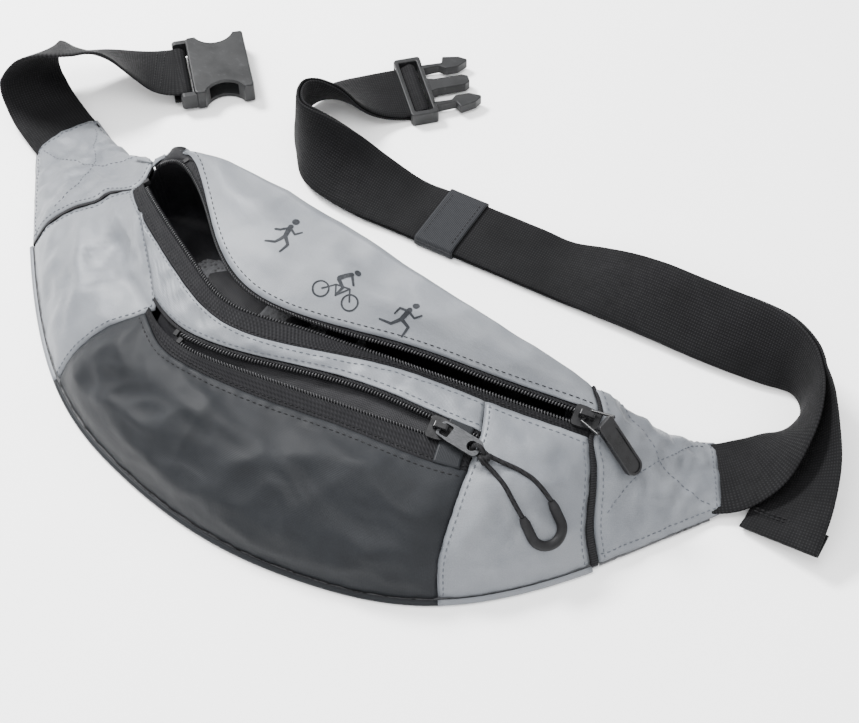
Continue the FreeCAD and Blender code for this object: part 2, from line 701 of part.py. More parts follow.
def rounded(corners):
    """Closed outline through corners (x, y, radius), with each corner turned by a tangent arc."""
    arcs, count = [], len(corners)
    for i, (x, y, radius) in enumerate(corners):
        here = Vec(x, y, 0)
        before, after = Vec(*corners[i - 1][:2], 0), Vec(*corners[(i + 1) % count][:2], 0)
        into, away = (here - before).normalize(), (after - here).normalize()
        turn = into.getAngle(away)
        reach = radius * math.tan(turn / 2)
        inward = (away - into).normalize() * (radius / math.cos(turn / 2) - radius)
        arcs.append((here - into * reach, here + inward, here + away * reach))
    edges = []
    for i, (start, middle, finish) in enumerate(arcs):
        edges.append(Part.Arc(start, middle, finish))
        following = arcs[(i + 1) % count][0]
        if finish.distanceToPoint(following) > 1e-6:
            edges.append(Part.LineSegment(finish, following))
    return edges


def plate(name, outlines, height, bottom):
    """Body padded from a sketch: the first outline is its edge and the others are holes."""
    body = doc.addObject("PartDesign::Body", name)
    sketch = body.newObject("Sketcher::SketchObject", name + "Outline")
    level_plane = next(f for f in body.Origin.OriginFeatures if f.Role == "XY_Plane")
    sketch.AttachmentSupport = [(level_plane, "")]
    sketch.MapMode = "FlatFace"
    sketch.setExpression("AttachmentOffset.Base.z", linked(bottom))
    for outline in outlines:
        sketch.addGeometry(outline)
    pad = body.newObject("PartDesign::Pad", name + "Pad")
    pad.Profile = sketch
    pad.setExpression("Length", linked(height))
    return body


def finish(obj, label, frame):
    """Sets a finished piece in its place and gives it its name."""
    obj.Placement = frame
    return keep(obj, label)


# ---------------------------------------------------------------- zip sliders

class Chain:
    """Straight run of a zip: directions along it, across it and out of it."""

    def __init__(self, run, far_name, near_name):
        (first, start), (last, end) = run
        self.run = run
        self.closing = (start - end).normalize()
        middle = (first + last) / 2
        across = line_point(far_name, middle) - line_point(near_name, middle)
        self.across = (across - self.closing * across.dot(self.closing)).normalize()
        self.out = self.across.cross(self.closing)
        if self.out.z < 0:
            self.out = self.out * -1

    def slider_centre(self, x):
        """Point of the skin plane midway between the two coils at x."""
        (first, start), (last, end) = self.run
        on_coil = start + (end - start) * ((x - start.x) / (end.x - start.x))
        return on_coil + self.across * (size("coil_width") + size("chain_gap") / 2)


main_chain = Chain(MAIN_RUN, "main_far_coil", "main_coil")
pocket_chain = Chain(POCKET_RUN, "pocket_far_coil", "pocket_coil")
nose, wing_half, tail_half = size("slider_length") / 2, size("slider_width") / 2, 4.2
PLATE_OUTLINE = [(-nose, -tail_half, 1.8), (1, -wing_half, 3), (nose, -wing_half, 1.8),
                 (nose, wing_half, 1.8), (1, wing_half, 3), (-nose, tail_half, 1.8)]


def slider(label, chain, x):
    """Slider body: two plates, a post between the coils and a bridge for the pull.

    Its local X points the way that it closes, with the two throats at that end.
    """
    top = plate(label + "Top", [rounded(PLATE_OUTLINE)], "plate_thick", "plate_lift")
    bottom = plate(label + "Bottom", [rounded(PLATE_OUTLINE)], "plate_thick",
                   "-plate_drop - plate_thick")
    post = block(("post_length", "post_width", "plate_lift + plate_drop + plate_thick"),
                 ("1.4", "-post_width / 2", "-plate_drop - plate_thick / 2"))
    arch = block(("bridge_length", "bridge_width", "bridge_rise + plate_thick / 2"),
                 ("-bridge_length / 2", "-bridge_width / 2", "plate_lift + plate_thick / 2"))
    crown = size("plate_lift") + size("plate_thick") + size("bridge_rise")
    arch = softened(arch, 1.1, lambda e: level(e, crown) and e.BoundBox.XLength < 1e-4)
    gap = block(("bridge_length - 2 * bridge_bar", "bridge_width * 2",
                 "bridge_rise - bridge_bar"),
                ("-bridge_length / 2 + bridge_bar", "-bridge_width",
                 "plate_lift + plate_thick"))
    body = without(joined(top, bottom, post, arch), gap)
    frame = frame_at(chain.slider_centre(x), chain.closing, chain.out)
    return finish(body, label, frame)


MAIN_REST, POCKET_REST = 139.0, 90.0
slider("main_slider", main_chain, MAIN_REST)
slider("pocket_slider", pocket_chain, POCKET_REST)
bridge_centre = (size("plate_lift") + size("plate_thick")
                 + (size("bridge_rise") - size("bridge_bar")) / 2)

# ---------------------------------------------------------------- main zip pull

# A wire bail hangs from the bridge and a pull hangs from the bail. The pull lies down over
# the right wing.
main_pivot = main_chain.slider_centre(MAIN_REST) + main_chain.out * bridge_centre
BAIL_LIFT, BAIL_YAW = math.radians(20), -20
bail_flat = FreeCAD.Rotation(main_chain.out, BAIL_YAW).multVec(main_chain.closing * -1)
bail_across = main_chain.out.cross(bail_flat)
bail_ahead = bail_flat * math.cos(BAIL_LIFT) + main_chain.out * math.sin(BAIL_LIFT)
bail_frame = frame_at(main_pivot, bail_ahead, main_chain.out)

narrow, wide = "(bail_narrow / 2 + bail_radius)", "(bail_wide / 2 + bail_radius)"
bail_parts = [rod("bail_radius", "2 * " + narrow, ("0", "-" + narrow, "0"), "Y"),
              rod("bail_radius", "2 * " + wide, ("bail_length", "-" + wide, "0"), "Y")]
splay = math.atan2((size("bail_wide") - size("bail_narrow")) / 2, size("bail_length"))
for sign in ("", "-"):
    leg = rod("bail_radius", "sqrt(bail_length ^ 2 + ((bail_wide - bail_narrow) / 2) ^ 2)",
              ("0", sign + narrow, "0"), "X")
    yaw = math.degrees(splay) * (-1 if sign else 1)
    leg.Placement.Rotation = FreeCAD.Rotation(UP, yaw).multiply(TURNS["X"])
    bail_parts += [leg, ball("bail_radius", ("0", sign + narrow, "0")),
                   ball("bail_radius", ("bail_length", sign + wide, "0"))]
finish(joined(*bail_parts), "main_bail", bail_frame)

puller_pivot = main_pivot + bail_ahead * size("bail_length")
PULL_TIP = Vec(171.6, 45.4, 23.4)
reach, half = size("puller_length") - size("puller_head"), size("puller_width") / 2
head = size("puller_head")
outline = [(-head, -half, 1.2), (reach, -half, half - 0.01), (reach, half, half - 0.01),
           (-head, half, 1.2)]
rim = size("puller_rim")
dish_from = size("puller_bore") + 2.0
dish = [(dish_from, -half + rim, 1), (reach - rim, -half + rim, half - rim - 0.01),
        (reach - rim, half - rim, half - rim - 0.01), (dish_from, half - rim, 1)]
lever = plate("PullerBlank", [rounded(outline)], "puller_thick", "-puller_thick / 2")
lever_top = size("puller_thick") / 2
lever = softened(lever, 0.5, lambda e: level(e, lever_top) or level(e, -lever_top))
hollow = plate("PullerDish", [rounded(dish)], "puller_dish", "puller_thick / 2 - puller_dish")
bore = rod("puller_bore", "puller_width * 2", ("0", "-puller_width", "0"), "Y")
pull_ahead = PULL_TIP - puller_pivot
pull_ahead = (pull_ahead - bail_across * pull_ahead.dot(bail_across)).normalize()
pull_up = pull_ahead.cross(bail_across)
finish(without(lever, hollow, bore), "main_puller", frame_at(puller_pivot, pull_ahead, pull_up))

# ---------------------------------------------------------------- pocket zip tab and cord

pocket_pivot = pocket_chain.slider_centre(POCKET_REST) + pocket_chain.out * bridge_centre
TAB_LIFT, TAB_YAW = math.radians(3), -14
tab_flat = FreeCAD.Rotation(pocket_chain.out, TAB_YAW).multVec(pocket_chain.closing * -1)
tab_ahead = tab_flat * math.cos(TAB_LIFT) + pocket_chain.out * math.sin(TAB_LIFT)
tab_frame = frame_at(pocket_pivot, tab_ahead, pocket_chain.out)
head, half = size("tab_head") / 2, size("tab_width") / 2
tab_end = size("tab_length") - head
slot_end, slot_half = head + size("slot_long"), size("slot_wide") / 2
hole, tip = size("tab_hole") / 2, size("tab_tip")
tab_outline = [(-head, -half + 0.6, 1.6), (slot_end + 1, -half, 3), (tab_end, -half, 2.6),
               (tab_end, half, 2.6), (slot_end + 1, half, 3), (-head, half - 0.6, 1.6)]
slot_outline = [(head, -slot_half, 0.9), (slot_end, -slot_half, 0.9), (slot_end, slot_half, 0.9),
                (head, slot_half, 0.9)]
hole_x = tab_end - tip - hole
hole_outline = [Part.Circle(Vec(hole_x, 0, 0), UP, hole)]
tab = plate("TabBlank", [rounded(tab_outline), rounded(slot_outline), hole_outline],
            "tab_thick", "-tab_thick / 2")
finish(tab, "pocket_tab", tab_frame)

# The cord is looped through the tab's hole. Its knot turns about the tab's tip.
tip_bar = tab_frame.multVec(Vec(tab_end - tip / 2, 0, 0))
ring = doc.addObject("Part::Torus", "KnotRing")
ring.setExpression("Radius1", linked("knot_radius"))
ring.setExpression("Radius2", linked("cord_diameter / 2"))
ring.Placement = FreeCAD.Placement(Vec(), TURNS["Y"])
barrel = rod("cord_diameter * 0.8", "knot_length",
             ("knot_radius + 1.3", "-knot_length / 2", "0"), "Y")
CORD_FALL = Vec(0.62, -0.1, -0.34).normalize()
knot_frame = frame_at(tip_bar, CORD_FALL, pocket_chain.out)
finish(joined(ring, barrel), "pull_knot", knot_frame)

# The moulded grip at the far end of the cord loop lies on the slope of the side panel.
GRIP_CENTRE = Vec(148.9, -0.8, 26.2)
GRIP_AHEAD = Vec(0.653, -0.224, -0.723)
GRIP_UP = Vec(0.627, -0.376, 0.682)
bend = doc.addObject("Part::Torus", "GripBend")
bend.setExpression("Radius1", linked("grip_radius"))
bend.setExpression("Radius2", linked("grip_thick / 2"))
bend.Angle3 = 180
bend.Placement = FreeCAD.Placement(Vec(), FreeCAD.Rotation(UP, -90))
grip_parts = [bend]
for sign in ("", "-"):
    grip_parts.append(rod("grip_thick / 2", "grip_leg * 0.7",
                          ("-grip_leg * 0.7", sign + "grip_radius", "0"), "X"))
    ferrule = doc.addObject("Part::Cone", "Ferrule")
    ferrule.setExpression("Radius1", linked("grip_tip / 2"))
    ferrule.setExpression("Radius2", linked("grip_thick / 2"))
    ferrule.setExpression("Height", linked("grip_leg * 0.3"))
    ferrule.Placement = FreeCAD.Placement(Vec(), TURNS["X"])
    grip_parts.append(place(ferrule, ("-grip_leg", sign + "grip_radius", "0")))
grip_frame = frame_at(GRIP_CENTRE, GRIP_AHEAD, GRIP_UP)
finish(joined(*grip_parts), "pull_grip", grip_frame)


def cord_tube(label, points):
    """Round cord through points: straight runs joined by tangent arcs, each as large as fits."""
    radius = size("cord_diameter") / 2
    edges, at = [], points[0]
    radii = []
    for before, here, after in zip(points, points[1:], points[2:]):
        into, away = (here - before).normalize(), (after - here).normalize()
        turn = into.getAngle(away)
        shorter = min((here - before).Length, (after - here).Length)
        cut = 0.45 * shorter
        radii.append(cut / math.tan(turn / 2))
        start, finish_point = here - into * cut, here + away * cut
        inward = (away - into).normalize()
        sag = radii[-1] * (1 / math.cos(turn / 2) - 1)
        edges.append(Part.LineSegment(at, start).toShape())
        edges.append(Part.Arc(start, here + inward * sag, finish_point).toShape())
        at = finish_point
    edges.append(Part.LineSegment(at, points[-1]).toShape())
    spine = Part.Wire(edges)
    heading = (points[1] - points[0]).normalize()
    section = Part.Wire(Part.makeCircle(radius, points[0], heading))
    tube = spine.makePipeShell([section], True, False)
    expected = math.pi * radius ** 2 * spine.Length
    print(label, "length", round(spine.Length, 1), "radii", [round(r, 1) for r in radii],
          "volume share", round(tube.Volume / expected, 4))
    return soft(label, tube)


# Each strand of the cord runs from one side of the knot to the grip's leg on that side.
knot_exit = size("knot_radius") + 1.3
strand_side = size("knot_length") / 2 - 1.5
leg_reach, leg_side = -size("grip_leg"), size("grip_radius")
UPPER_ROUTE = [Vec(119.0, 7.2, 44.4), Vec(128.6, 9.6, 42.3), Vec(137.8, 10.6, 38.4)]
LOWER_ROUTE = [Vec(117.8, 2.2, 43.6), Vec(126.2, 0.6, 40.0), Vec(132.6, -2.6, 36.4)]
STRANDS = [("pull_cord_upper", 1, UPPER_ROUTE), ("pull_cord_lower", -1, LOWER_ROUTE)]
for label, sign, route in STRANDS:
    leaves = knot_frame.multVec(Vec(knot_exit, sign * strand_side, 0))
    arrives = grip_frame.multVec(Vec(leg_reach, sign * leg_side, 0))
    cord_tube(label, [leaves] + route + [arrives])

# ---------------------------------------------------------------- buckle, socket half

half_body, wall = size("socket_width") / 2, size("socket_wall")
body_from = size("eye_reach")
body_to = body_from + size("socket_length")
shoulder = half_body - 2.2
socket_outline = [(body_from, -half_body, 2.5), (body_from + 9, -half_body, 8),
                  (body_to - 9, -shoulder, 2.5), (body_to - 7, -half_body, 1.6),
                  (body_to, -half_body, 1.6), (body_to, half_body, 1.6),
                  (body_to - 7, half_body, 1.6), (body_to - 9, shoulder, 2.5),
                  (body_from + 9, half_body, 8), (body_from, half_body, 2.5)]
shell = plate("SocketBlank", [rounded(socket_outline)], "socket_height", "-socket_height / 2")
socket_top = size("socket_height") / 2
shell = softened(shell, 1.0, lambda e: level(e, socket_top) or level(e, -socket_top))
cavity = block(("socket_length - 3", "socket_width - 4 * socket_wall",
                "socket_height - 2 * socket_wall"),
               ("eye_reach + 3", "-socket_width / 2 + 2 * socket_wall",
                "-socket_height / 2 + socket_wall"))
thumb_centre = "(socket_width / 2 + thumb_radius - thumb_depth)"
thumbs = [rod("thumb_radius", "socket_height * 2",
              ("eye_reach + socket_length * 0.5", sign + thumb_centre, "-socket_height"), "Z")
          for sign in ("", "-")]
eye = block(("eye_reach + bar_radius + 2.4", "socket_width", "socket_height - 3"),
            ("-bar_radius - 1.4", "-socket_width / 2", "-socket_height / 2 + 1.5"))
eye = softened(eye, 2.2, lambda e: e.BoundBox.YLength > 40 and e.BoundBox.XMin < -2)
belt_room = block(("eye_reach + bar_radius + 1.4 + 0.01", "socket_width - 2 * cheek_width",
                   "socket_height * 2"),
                  ("-bar_radius - 1.41", "-socket_width / 2 + cheek_width", "-socket_height"))
eye = without(eye, belt_room)
socket_bar = rod("bar_radius", "socket_width - 2 * cheek_width + 1",
                 ("0", "-socket_width / 2 + cheek_width - 0.5", "0"), "Y")
socket_frame = frame_at(SOCKET_BAR, SOCKET_AHEAD, UP)
finish(joined(without(shell, cavity, *thumbs), eye, socket_bar), "buckle_socket", socket_frame)

# ---------------------------------------------------------------- buckle, plug half

back_x, front_x = -size("frame_back"), size("frame_front")
half_frame, side = size("frame_width") / 2, size("side_width")
frame_outline = [(back_x, -half_frame, 2.4), (front_x, -half_frame, 1.6),
                 (front_x, half_frame, 1.6), (back_x, half_frame, 2.4)]
window_outline = [(back_x + size("rail_length"), -half_frame + side, 1),
                  (front_x - size("rail_length"), -half_frame + side, 1),
                  (front_x - size("rail_length"), half_frame - side, 1),
                  (back_x + size("rail_length"), half_frame - side, 1)]
ring_body = plate("FrameBlank", [rounded(frame_outline), rounded(window_outline)],
                  "frame_height", "-frame_height / 2")
frame_top = size("frame_height") / 2
ring_body = softened(ring_body, 0.7, lambda e: level(e, frame_top) or level(e, -frame_top))
under = block(("rail_length + 1", "frame_width - 2 * side_width", "frame_height - rail_height"),
              ("-frame_back - 1", "-frame_width / 2 + side_width", "-frame_height / 2"))
root_x = front_x + 0.4
roots = [rod("prong_width / 2 + root_gap", "frame_height * 2",
             (str(root_x), sign + "prong_offset", "-frame_height"), "Z") for sign in ("", "-")]
plug_bar = rod("bar_radius", "frame_width - 2 * side_width + 1",
               ("0", "-frame_width / 2 + side_width - 0.5", "0"), "Y")
half_guide = size("guide_width") / 2
guide_end = front_x + size("guide_length")
guide_outline = [(front_x - 1, -half_guide - 1.5, 0.4), (front_x + 4, -half_guide, 3),
                 (guide_end - 3, -half_guide, 1), (guide_end, -half_guide + 1.8, 1),
                 (guide_end, half_guide - 1.8, 1), (guide_end - 3, half_guide, 1),
                 (front_x + 4, half_guide, 3), (front_x - 1, half_guide + 1.5, 0.4)]
guide = plate("Guide", [rounded(guide_outline)], "guide_height", "-guide_height / 2")
guide_top = size("guide_height") / 2
guide = softened(guide, 0.5, lambda e: level(e, guide_top) or level(e, -guide_top))
plug_frame = frame_at(PLUG_BAR, PLUG_AHEAD, UP)
finish(joined(without(ring_body, under, *roots), plug_bar, guide), "buckle_plug", plug_frame)

# Each prong is an arm with a barb. Its rounded root sits in a hollow of the frame.
arm = size("prong_width") / 2
offset, prong_end = size("prong_offset"), front_x + size("prong_length")
for label, sign in (("prong_left", 1), ("prong_right", -1)):
    corners = [(root_x - arm, offset - arm, 1.3), (root_x + 9, offset - arm + 0.6, 2),
               (root_x + 12, offset - arm - 2.4, 1), (prong_end - 6, offset - arm - 2.4, 3),
               (prong_end, offset - 0.6, 0.8), (prong_end, offset + 0.8, 0.8),
               (prong_end - 4, offset + 3.8, 2), (root_x + 12.5, offset + 5.8, 1),
               (root_x + 11, offset + arm - 0.6, 1), (root_x - arm, offset + arm, 1.3)]
    if sign < 0:
        corners = [(x, -y, radius) for x, y, radius in reversed(corners)]
    prong = plate(label + "Blank", [rounded(corners)], "prong_height", "-prong_height / 2")
    prong_top = size("prong_height") / 2
    prong = softened(prong, 0.5, lambda e: level(e, prong_top) or level(e, -prong_top))
    finish(prong, label, plug_frame)

# ---------------------------------------------------------------- keeper

# A flat elastic loop holds the two layers together where the belt lies flat and straight.
KEEPER_X = 4.0
near = [Vec(x, y, 0) for x, y, tilt in LONG_PATH if tilt == 0]
belt_run = (near[0] - near[-1]).normalize()
keeper_spot = near[-1] + belt_run * ((KEEPER_X - near[-1].x) / belt_run.x)
half_span = half_web + size("keeper_gap")
stack_top = 2 * size("web_thick") + size("layer_gap") + size("keeper_gap")
loops = []
for grow, radius in ((size("keeper_thick"), 1.6), (0, 0.5)):
    low, high, out = -size("keeper_gap") - grow, stack_top + grow, half_span + grow
    loops.append(rounded([(-out, low, radius), (out, low, radius), (out, high, radius),
                          (-out, high, radius)]))
loop = plate("KeeperLoop", loops, "keeper_length", "-keeper_length / 2")
finish(loop, "keeper", frame_at(keeper_spot + UP * FLOOR_GAP, UP.cross(belt_run), belt_run))

doc.recompute()
bad = [o.Label for o in doc.Objects if "Invalid" in o.State or "Error" in o.State]
bad += [o.Label for o in nodes if o.Shape.isNull() or not o.Shape.isValid()]
if bad:
    raise RuntimeError("failed objects: " + ", ".join(bad))
os.makedirs("parts", exist_ok=True)
for node in nodes:
    node.Shape.exportStep(f"parts/{node.Label}.step")
    print(node.Label, "solids", len(node.Shape.Solids), "volume", round(node.Shape.Volume))
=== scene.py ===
"""A reflective waist pack lying open on a pale floor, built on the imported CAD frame."""
import math

import bpy
import numpy as np
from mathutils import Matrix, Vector, noise


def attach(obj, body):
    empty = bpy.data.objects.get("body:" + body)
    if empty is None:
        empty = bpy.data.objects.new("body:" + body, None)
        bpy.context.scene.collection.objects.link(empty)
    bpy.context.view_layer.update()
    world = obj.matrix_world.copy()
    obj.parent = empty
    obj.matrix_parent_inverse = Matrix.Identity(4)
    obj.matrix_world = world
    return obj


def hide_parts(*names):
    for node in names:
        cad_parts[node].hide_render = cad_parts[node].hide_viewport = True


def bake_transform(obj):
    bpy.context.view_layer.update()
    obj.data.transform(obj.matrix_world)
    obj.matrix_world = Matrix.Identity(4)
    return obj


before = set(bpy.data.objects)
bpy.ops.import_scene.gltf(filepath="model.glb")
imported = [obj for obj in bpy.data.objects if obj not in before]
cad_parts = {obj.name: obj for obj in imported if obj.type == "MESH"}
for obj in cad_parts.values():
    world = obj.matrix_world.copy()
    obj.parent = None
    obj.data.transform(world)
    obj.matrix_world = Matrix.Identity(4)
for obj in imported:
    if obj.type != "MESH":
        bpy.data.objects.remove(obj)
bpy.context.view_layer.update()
MM = 0.001

# ---------------------------------------------------------------- camera and studio

camera_data = bpy.data.cameras.new("Camera")
camera_data.lens = 67.05
camera_data.sensor_width = 36.0
camera = bpy.data.objects.new("Camera", camera_data)
camera.location = (0.3135, -0.3353, 0.6171)
look_at = Vector((0.057, 0.045, 0.030))
camera.rotation_euler = (look_at - camera.location).to_track_quat("-Z", "Y").to_euler()
bpy.context.collection.objects.link(camera)
bpy.context.scene.camera = camera

world = bpy.data.worlds.new("Studio")
bpy.context.scene.world = world
world.use_nodes = True
world.node_tree.nodes["Background"].inputs["Color"].default_value = (1.0, 1.0, 1.0, 1)
world.node_tree.nodes["Background"].inputs["Strength"].default_value = 1.65


def softbox(name, place, target, width, power, tint=(1, 1, 1)):
    data = bpy.data.lights.new(name, "AREA")
    data.shape = "RECTANGLE"
    data.size, data.size_y = width, width * 0.7
    data.energy = power
    data.color = tint
    lamp = bpy.data.objects.new(name, data)
    lamp.location = place
    aim = Vector(target) - Vector(place)
    lamp.rotation_euler = aim.to_track_quat("-Z", "Y").to_euler()
    bpy.context.collection.objects.link(lamp)


softbox("KeyLight", (-1.0, 0.25, 1.1), (0, 0.05, 0), 0.45, 62.0)
softbox("FillLight", (0.9, -0.7, 0.9), (0, 0.05, 0), 1.0, 8.0)
softbox("TopLight", (0.0, -0.3, 1.4), (0, 0.05, 0), 0.9, 16.0)


# ---------------------------------------------------------------- materials

class Look:
    """A procedural material. Cloth pieces carry a UV map, weave, in millimetres."""

    def __init__(self, name, **values):
        self.mat = bpy.data.materials.new(name)
        self.mat.use_nodes = True
        self.tree = self.mat.node_tree
        self.shader = self.tree.nodes["Principled BSDF"]
        for key, value in values.items():
            self.shader.inputs[key.replace("_", " ")].default_value = value
        self.last_bump = None

    def node(self, kind, links=None, values=None, **props):
        made = self.tree.nodes.new(kind)
        for key, value in props.items():
            setattr(made, key, value)
        for key, value in (values or {}).items():
            made.inputs[key].default_value = value
        for key, socket in (links or {}).items():
            self.tree.links.new(socket, made.inputs[key])
        return made

    def cloth_coords(self):
        return self.node("ShaderNodeUVMap", uv_map="weave").outputs["UV"]

    def solid_coords(self):
        """Object coordinates, in millimetres."""
        at = self.node("ShaderNodeTexCoord").outputs["Object"]
        scaled = self.node("ShaderNodeVectorMath", {0: at}, {1: (1000, 1000, 1000)},
                           operation="MULTIPLY")
        return scaled.outputs["Vector"]

    def bands(self, coords, pitch, direction="X", distortion=0.0):
        wave = self.node("ShaderNodeTexWave", {"Vector": coords},
                         {"Scale": 0.31416 / pitch, "Distortion": distortion,
                          "Detail": 1.0, "Detail Scale": 2.0},
                         wave_type="BANDS", bands_direction=direction)
        return wave.outputs["Fac"]

    def cloud(self, coords, span, detail=3.0):
        """Noise whose blobs are about span millimetres across."""
        made = self.node("ShaderNodeTexNoise", {"Vector": coords},
                         {"Scale": 1.0 / span, "Detail": detail, "Roughness": 0.6})
        return made.outputs["Fac"]

    def cells(self, coords, span):
        made = self.node("ShaderNodeTexVoronoi", {"Vector": coords}, {"Scale": 1.0 / span})
        return made.outputs["Distance"]

    def stretched(self, coords, x, y, z=1.0):
        made = self.node("ShaderNodeVectorMath", {0: coords}, {1: (x, y, z)},
                         operation="MULTIPLY")
        return made.outputs["Vector"]

    def sums(self, a, b, how="MULTIPLY"):
        return self.node("ShaderNodeMath", {0: a, 1: b}, operation=how).outputs["Value"]

    def ramp(self, fac, low, high, start=0.3, end=0.7):
        made = self.node("ShaderNodeValToRGB", {"Fac": fac})
        first, last = made.color_ramp.elements
        first.position, last.position = start, end
        first.color, last.color = (*low, 1), (*high, 1)
        return made.outputs["Color"]

    def mixed(self, fac, a, b, blend="MIX"):
        made = self.node("ShaderNodeMix", data_type="RGBA", blend_type=blend)
        for place, value in ((0, fac), (6, a), (7, b)):
            if isinstance(value, (int, float)):
                made.inputs[place].default_value = value
            elif isinstance(value, tuple):
                made.inputs[place].default_value = (*value, 1)
            else:
                self.tree.links.new(value, made.inputs[place])
        return made.outputs[2]

    def colour(self, socket):
        self.tree.links.new(socket, self.shader.inputs["Base Color"])

    def rough(self, fac, low, high):
        spread = self.node("ShaderNodeMapRange", {"Value": fac},
                           {"From Min": 0.3, "From Max": 0.7, "To Min": low, "To Max": high})
        self.tree.links.new(spread.outputs["Result"], self.shader.inputs["Roughness"])

    def bump(self, height, depth, strength=1.0):
        """Adds bumps whose depth is in millimetres."""
        links = {"Height": height}
        if self.last_bump:
            links["Normal"] = self.last_bump
        made = self.node("ShaderNodeBump", links, {"Distance": depth * MM, "Strength": strength})
        self.last_bump = made.outputs["Normal"]
        self.tree.links.new(self.last_bump, self.shader.inputs["Normal"])


def woven(look, coords, pitch, depth):
    """Plain weave: threads over and under each other."""
    warp = look.bands(coords, pitch, "X")
    weft = look.bands(coords, pitch, "Y")
    checks = look.sums(warp, weft, "MULTIPLY")
    look.bump(checks, depth)
    return checks


def make_reflective():
    look = Look("reflective_fabric", Sheen_Weight=0.04, Sheen_Roughness=0.4, Metallic=0.1,
                Specular_IOR_Level=0.3)
    at = look.cloth_coords()
    broad = look.cloud(at, 38, 4)
    tone = look.ramp(broad, (0.108, 0.116, 0.130), (0.148, 0.156, 0.168), 0.3, 0.7)
    beads = look.cloud(at, 0.5, 2)
    tone = look.mixed(0.55, tone, look.ramp(beads, (0.62, 0.64, 0.66), (1, 1, 1), 0.25, 0.6),
                      "MULTIPLY")
    look.colour(tone)
    look.rough(broad, 0.36, 0.5)
    look.bump(look.cloud(at, 7, 4), 0.35, 0.5)
    woven(look, at, 0.6, 0.05)
    return look.mat


def make_dark():
    look = Look("dark_fabric", Sheen_Weight=0.01, Sheen_Roughness=0.5, Specular_IOR_Level=0.10)
    at = look.cloth_coords()
    broad = look.cloud(at, 30, 4)
    tone = look.ramp(broad, (0.0085, 0.0094, 0.0110), (0.0135, 0.0148, 0.0170))
    fine = look.cloud(look.stretched(at, 1, 4), 1.4, 2)
    tone = look.mixed(0.4, tone, look.ramp(fine, (0.6, 0.6, 0.6), (1, 1, 1)), "MULTIPLY")
    look.colour(tone)
    look.rough(broad, 0.42, 0.56)
    look.bump(look.cloud(at, 6, 4), 0.3, 0.45)
    woven(look, at, 0.7, 0.06)
    return look.mat


def make_lining():
    look = Look("lining_fabric", Sheen_Weight=0.01, Specular_IOR_Level=0.12)
    at = look.cloth_coords()
    broad = look.cloud(at, 14, 4)
    look.colour(look.ramp(broad, (0.004, 0.004, 0.005), (0.009, 0.009, 0.0105)))
    look.rough(broad, 0.42, 0.6)
    look.bump(broad, 0.8, 0.5)
    woven(look, at, 0.8, 0.08)
    return look.mat


def make_mesh():
    look = Look("back_mesh", Sheen_Weight=0.3, Roughness=0.85)
    at = look.cloth_coords()
    holes = look.cells(at, 2.6)
    # The ramp draws the hole centres darker than the yarns: painted shade inside the holes of the
    # all-black mesh.
    look.colour(look.ramp(holes, (0.006, 0.006, 0.007), (0.045, 0.046, 0.05), 0.2, 0.45))
    look.bump(holes, 0.6)
    look.bump(look.cloud(at, 0.5, 2), 0.06)
    return look.mat


def make_binding():
    look = Look("binding", Sheen_Weight=0.01, Specular_IOR_Level=0.1)
    at = look.cloth_coords()
    ribs = look.bands(at, 1.1, "Y")
    look.colour(look.ramp(ribs, (0.004, 0.004, 0.0045), (0.011, 0.011, 0.0125)))
    look.rough(look.cloud(at, 5, 3), 0.55, 0.75)
    look.bump(ribs, 0.16)
    return look.mat


def make_tape():
    look = Look("zip_tape", Sheen_Weight=0.01, Specular_IOR_Level=0.08)
    at = look.cloth_coords()
    herring = look.sums(look.bands(at, 0.9, "DIAGONAL"), look.bands(at, 2.2, "Y"), "ADD")
    look.colour(look.ramp(herring, (0.0025, 0.0025, 0.003), (0.0065, 0.0065, 0.0075), 0.2, 1.0))
    look.rough(look.cloud(at, 5, 3), 0.55, 0.7)
    look.bump(herring, 0.12)
    return look.mat


def make_coil():
    look = Look("zip_coil", Specular_IOR_Level=0.35)
    at = look.solid_coords()
    worn = look.cloud(at, 3, 3)
    look.colour(look.ramp(worn, (0.006, 0.006, 0.007), (0.014, 0.014, 0.016)))
    look.rough(worn, 0.3, 0.42)
    look.bump(look.cloud(at, 0.3, 2), 0.02)
    return look.mat


def make_gloss_metal():
    look = Look("zip_metal", Metallic=0.0, Specular_IOR_Level=0.28)
    at = look.solid_coords()
    worn = look.cloud(at, 4, 4)
    look.colour(look.ramp(worn, (0.004, 0.004, 0.0045), (0.009, 0.009, 0.010)))
    look.rough(worn, 0.24, 0.38)
    look.bump(look.cloud(at, 1.2, 3), 0.02)
    return look.mat


def make_tab_metal():
    look = Look("tab_metal", Metallic=0.85)
    at = look.solid_coords()
    brushed = look.cloud(look.stretched(at, 0.3, 3.0), 0.5, 3)
    look.colour(look.ramp(brushed, (0.026, 0.027, 0.029), (0.055, 0.056, 0.059)))
    look.rough(brushed, 0.3, 0.45)
    look.bump(brushed, 0.02)
    return look.mat


def make_cord():
    look = Look("cord", Sheen_Weight=0.01, Specular_IOR_Level=0.1)
    at = look.solid_coords()
    plaits = look.sums(look.bands(at, 1.0, "DIAGONAL"), look.bands(at, 1.2, "Y"), "ADD")
    look.colour(look.ramp(plaits, (0.003, 0.003, 0.0033), (0.010, 0.010, 0.011), 0.3, 1.4))
    look.rough(look.cloud(at, 2, 3), 0.55, 0.75)
    look.bump(plaits, 0.12)
    return look.mat


def make_rubber():
    look = Look("grip_rubber", Specular_IOR_Level=0.15)
    at = look.solid_coords()
    grain = look.cloud(at, 0.6, 3)
    look.colour(look.ramp(look.cloud(at, 6, 3), (0.005, 0.005, 0.0055), (0.010, 0.010, 0.011)))
    look.rough(grain, 0.5, 0.68)
    look.bump(grain, 0.05)
    return look.mat


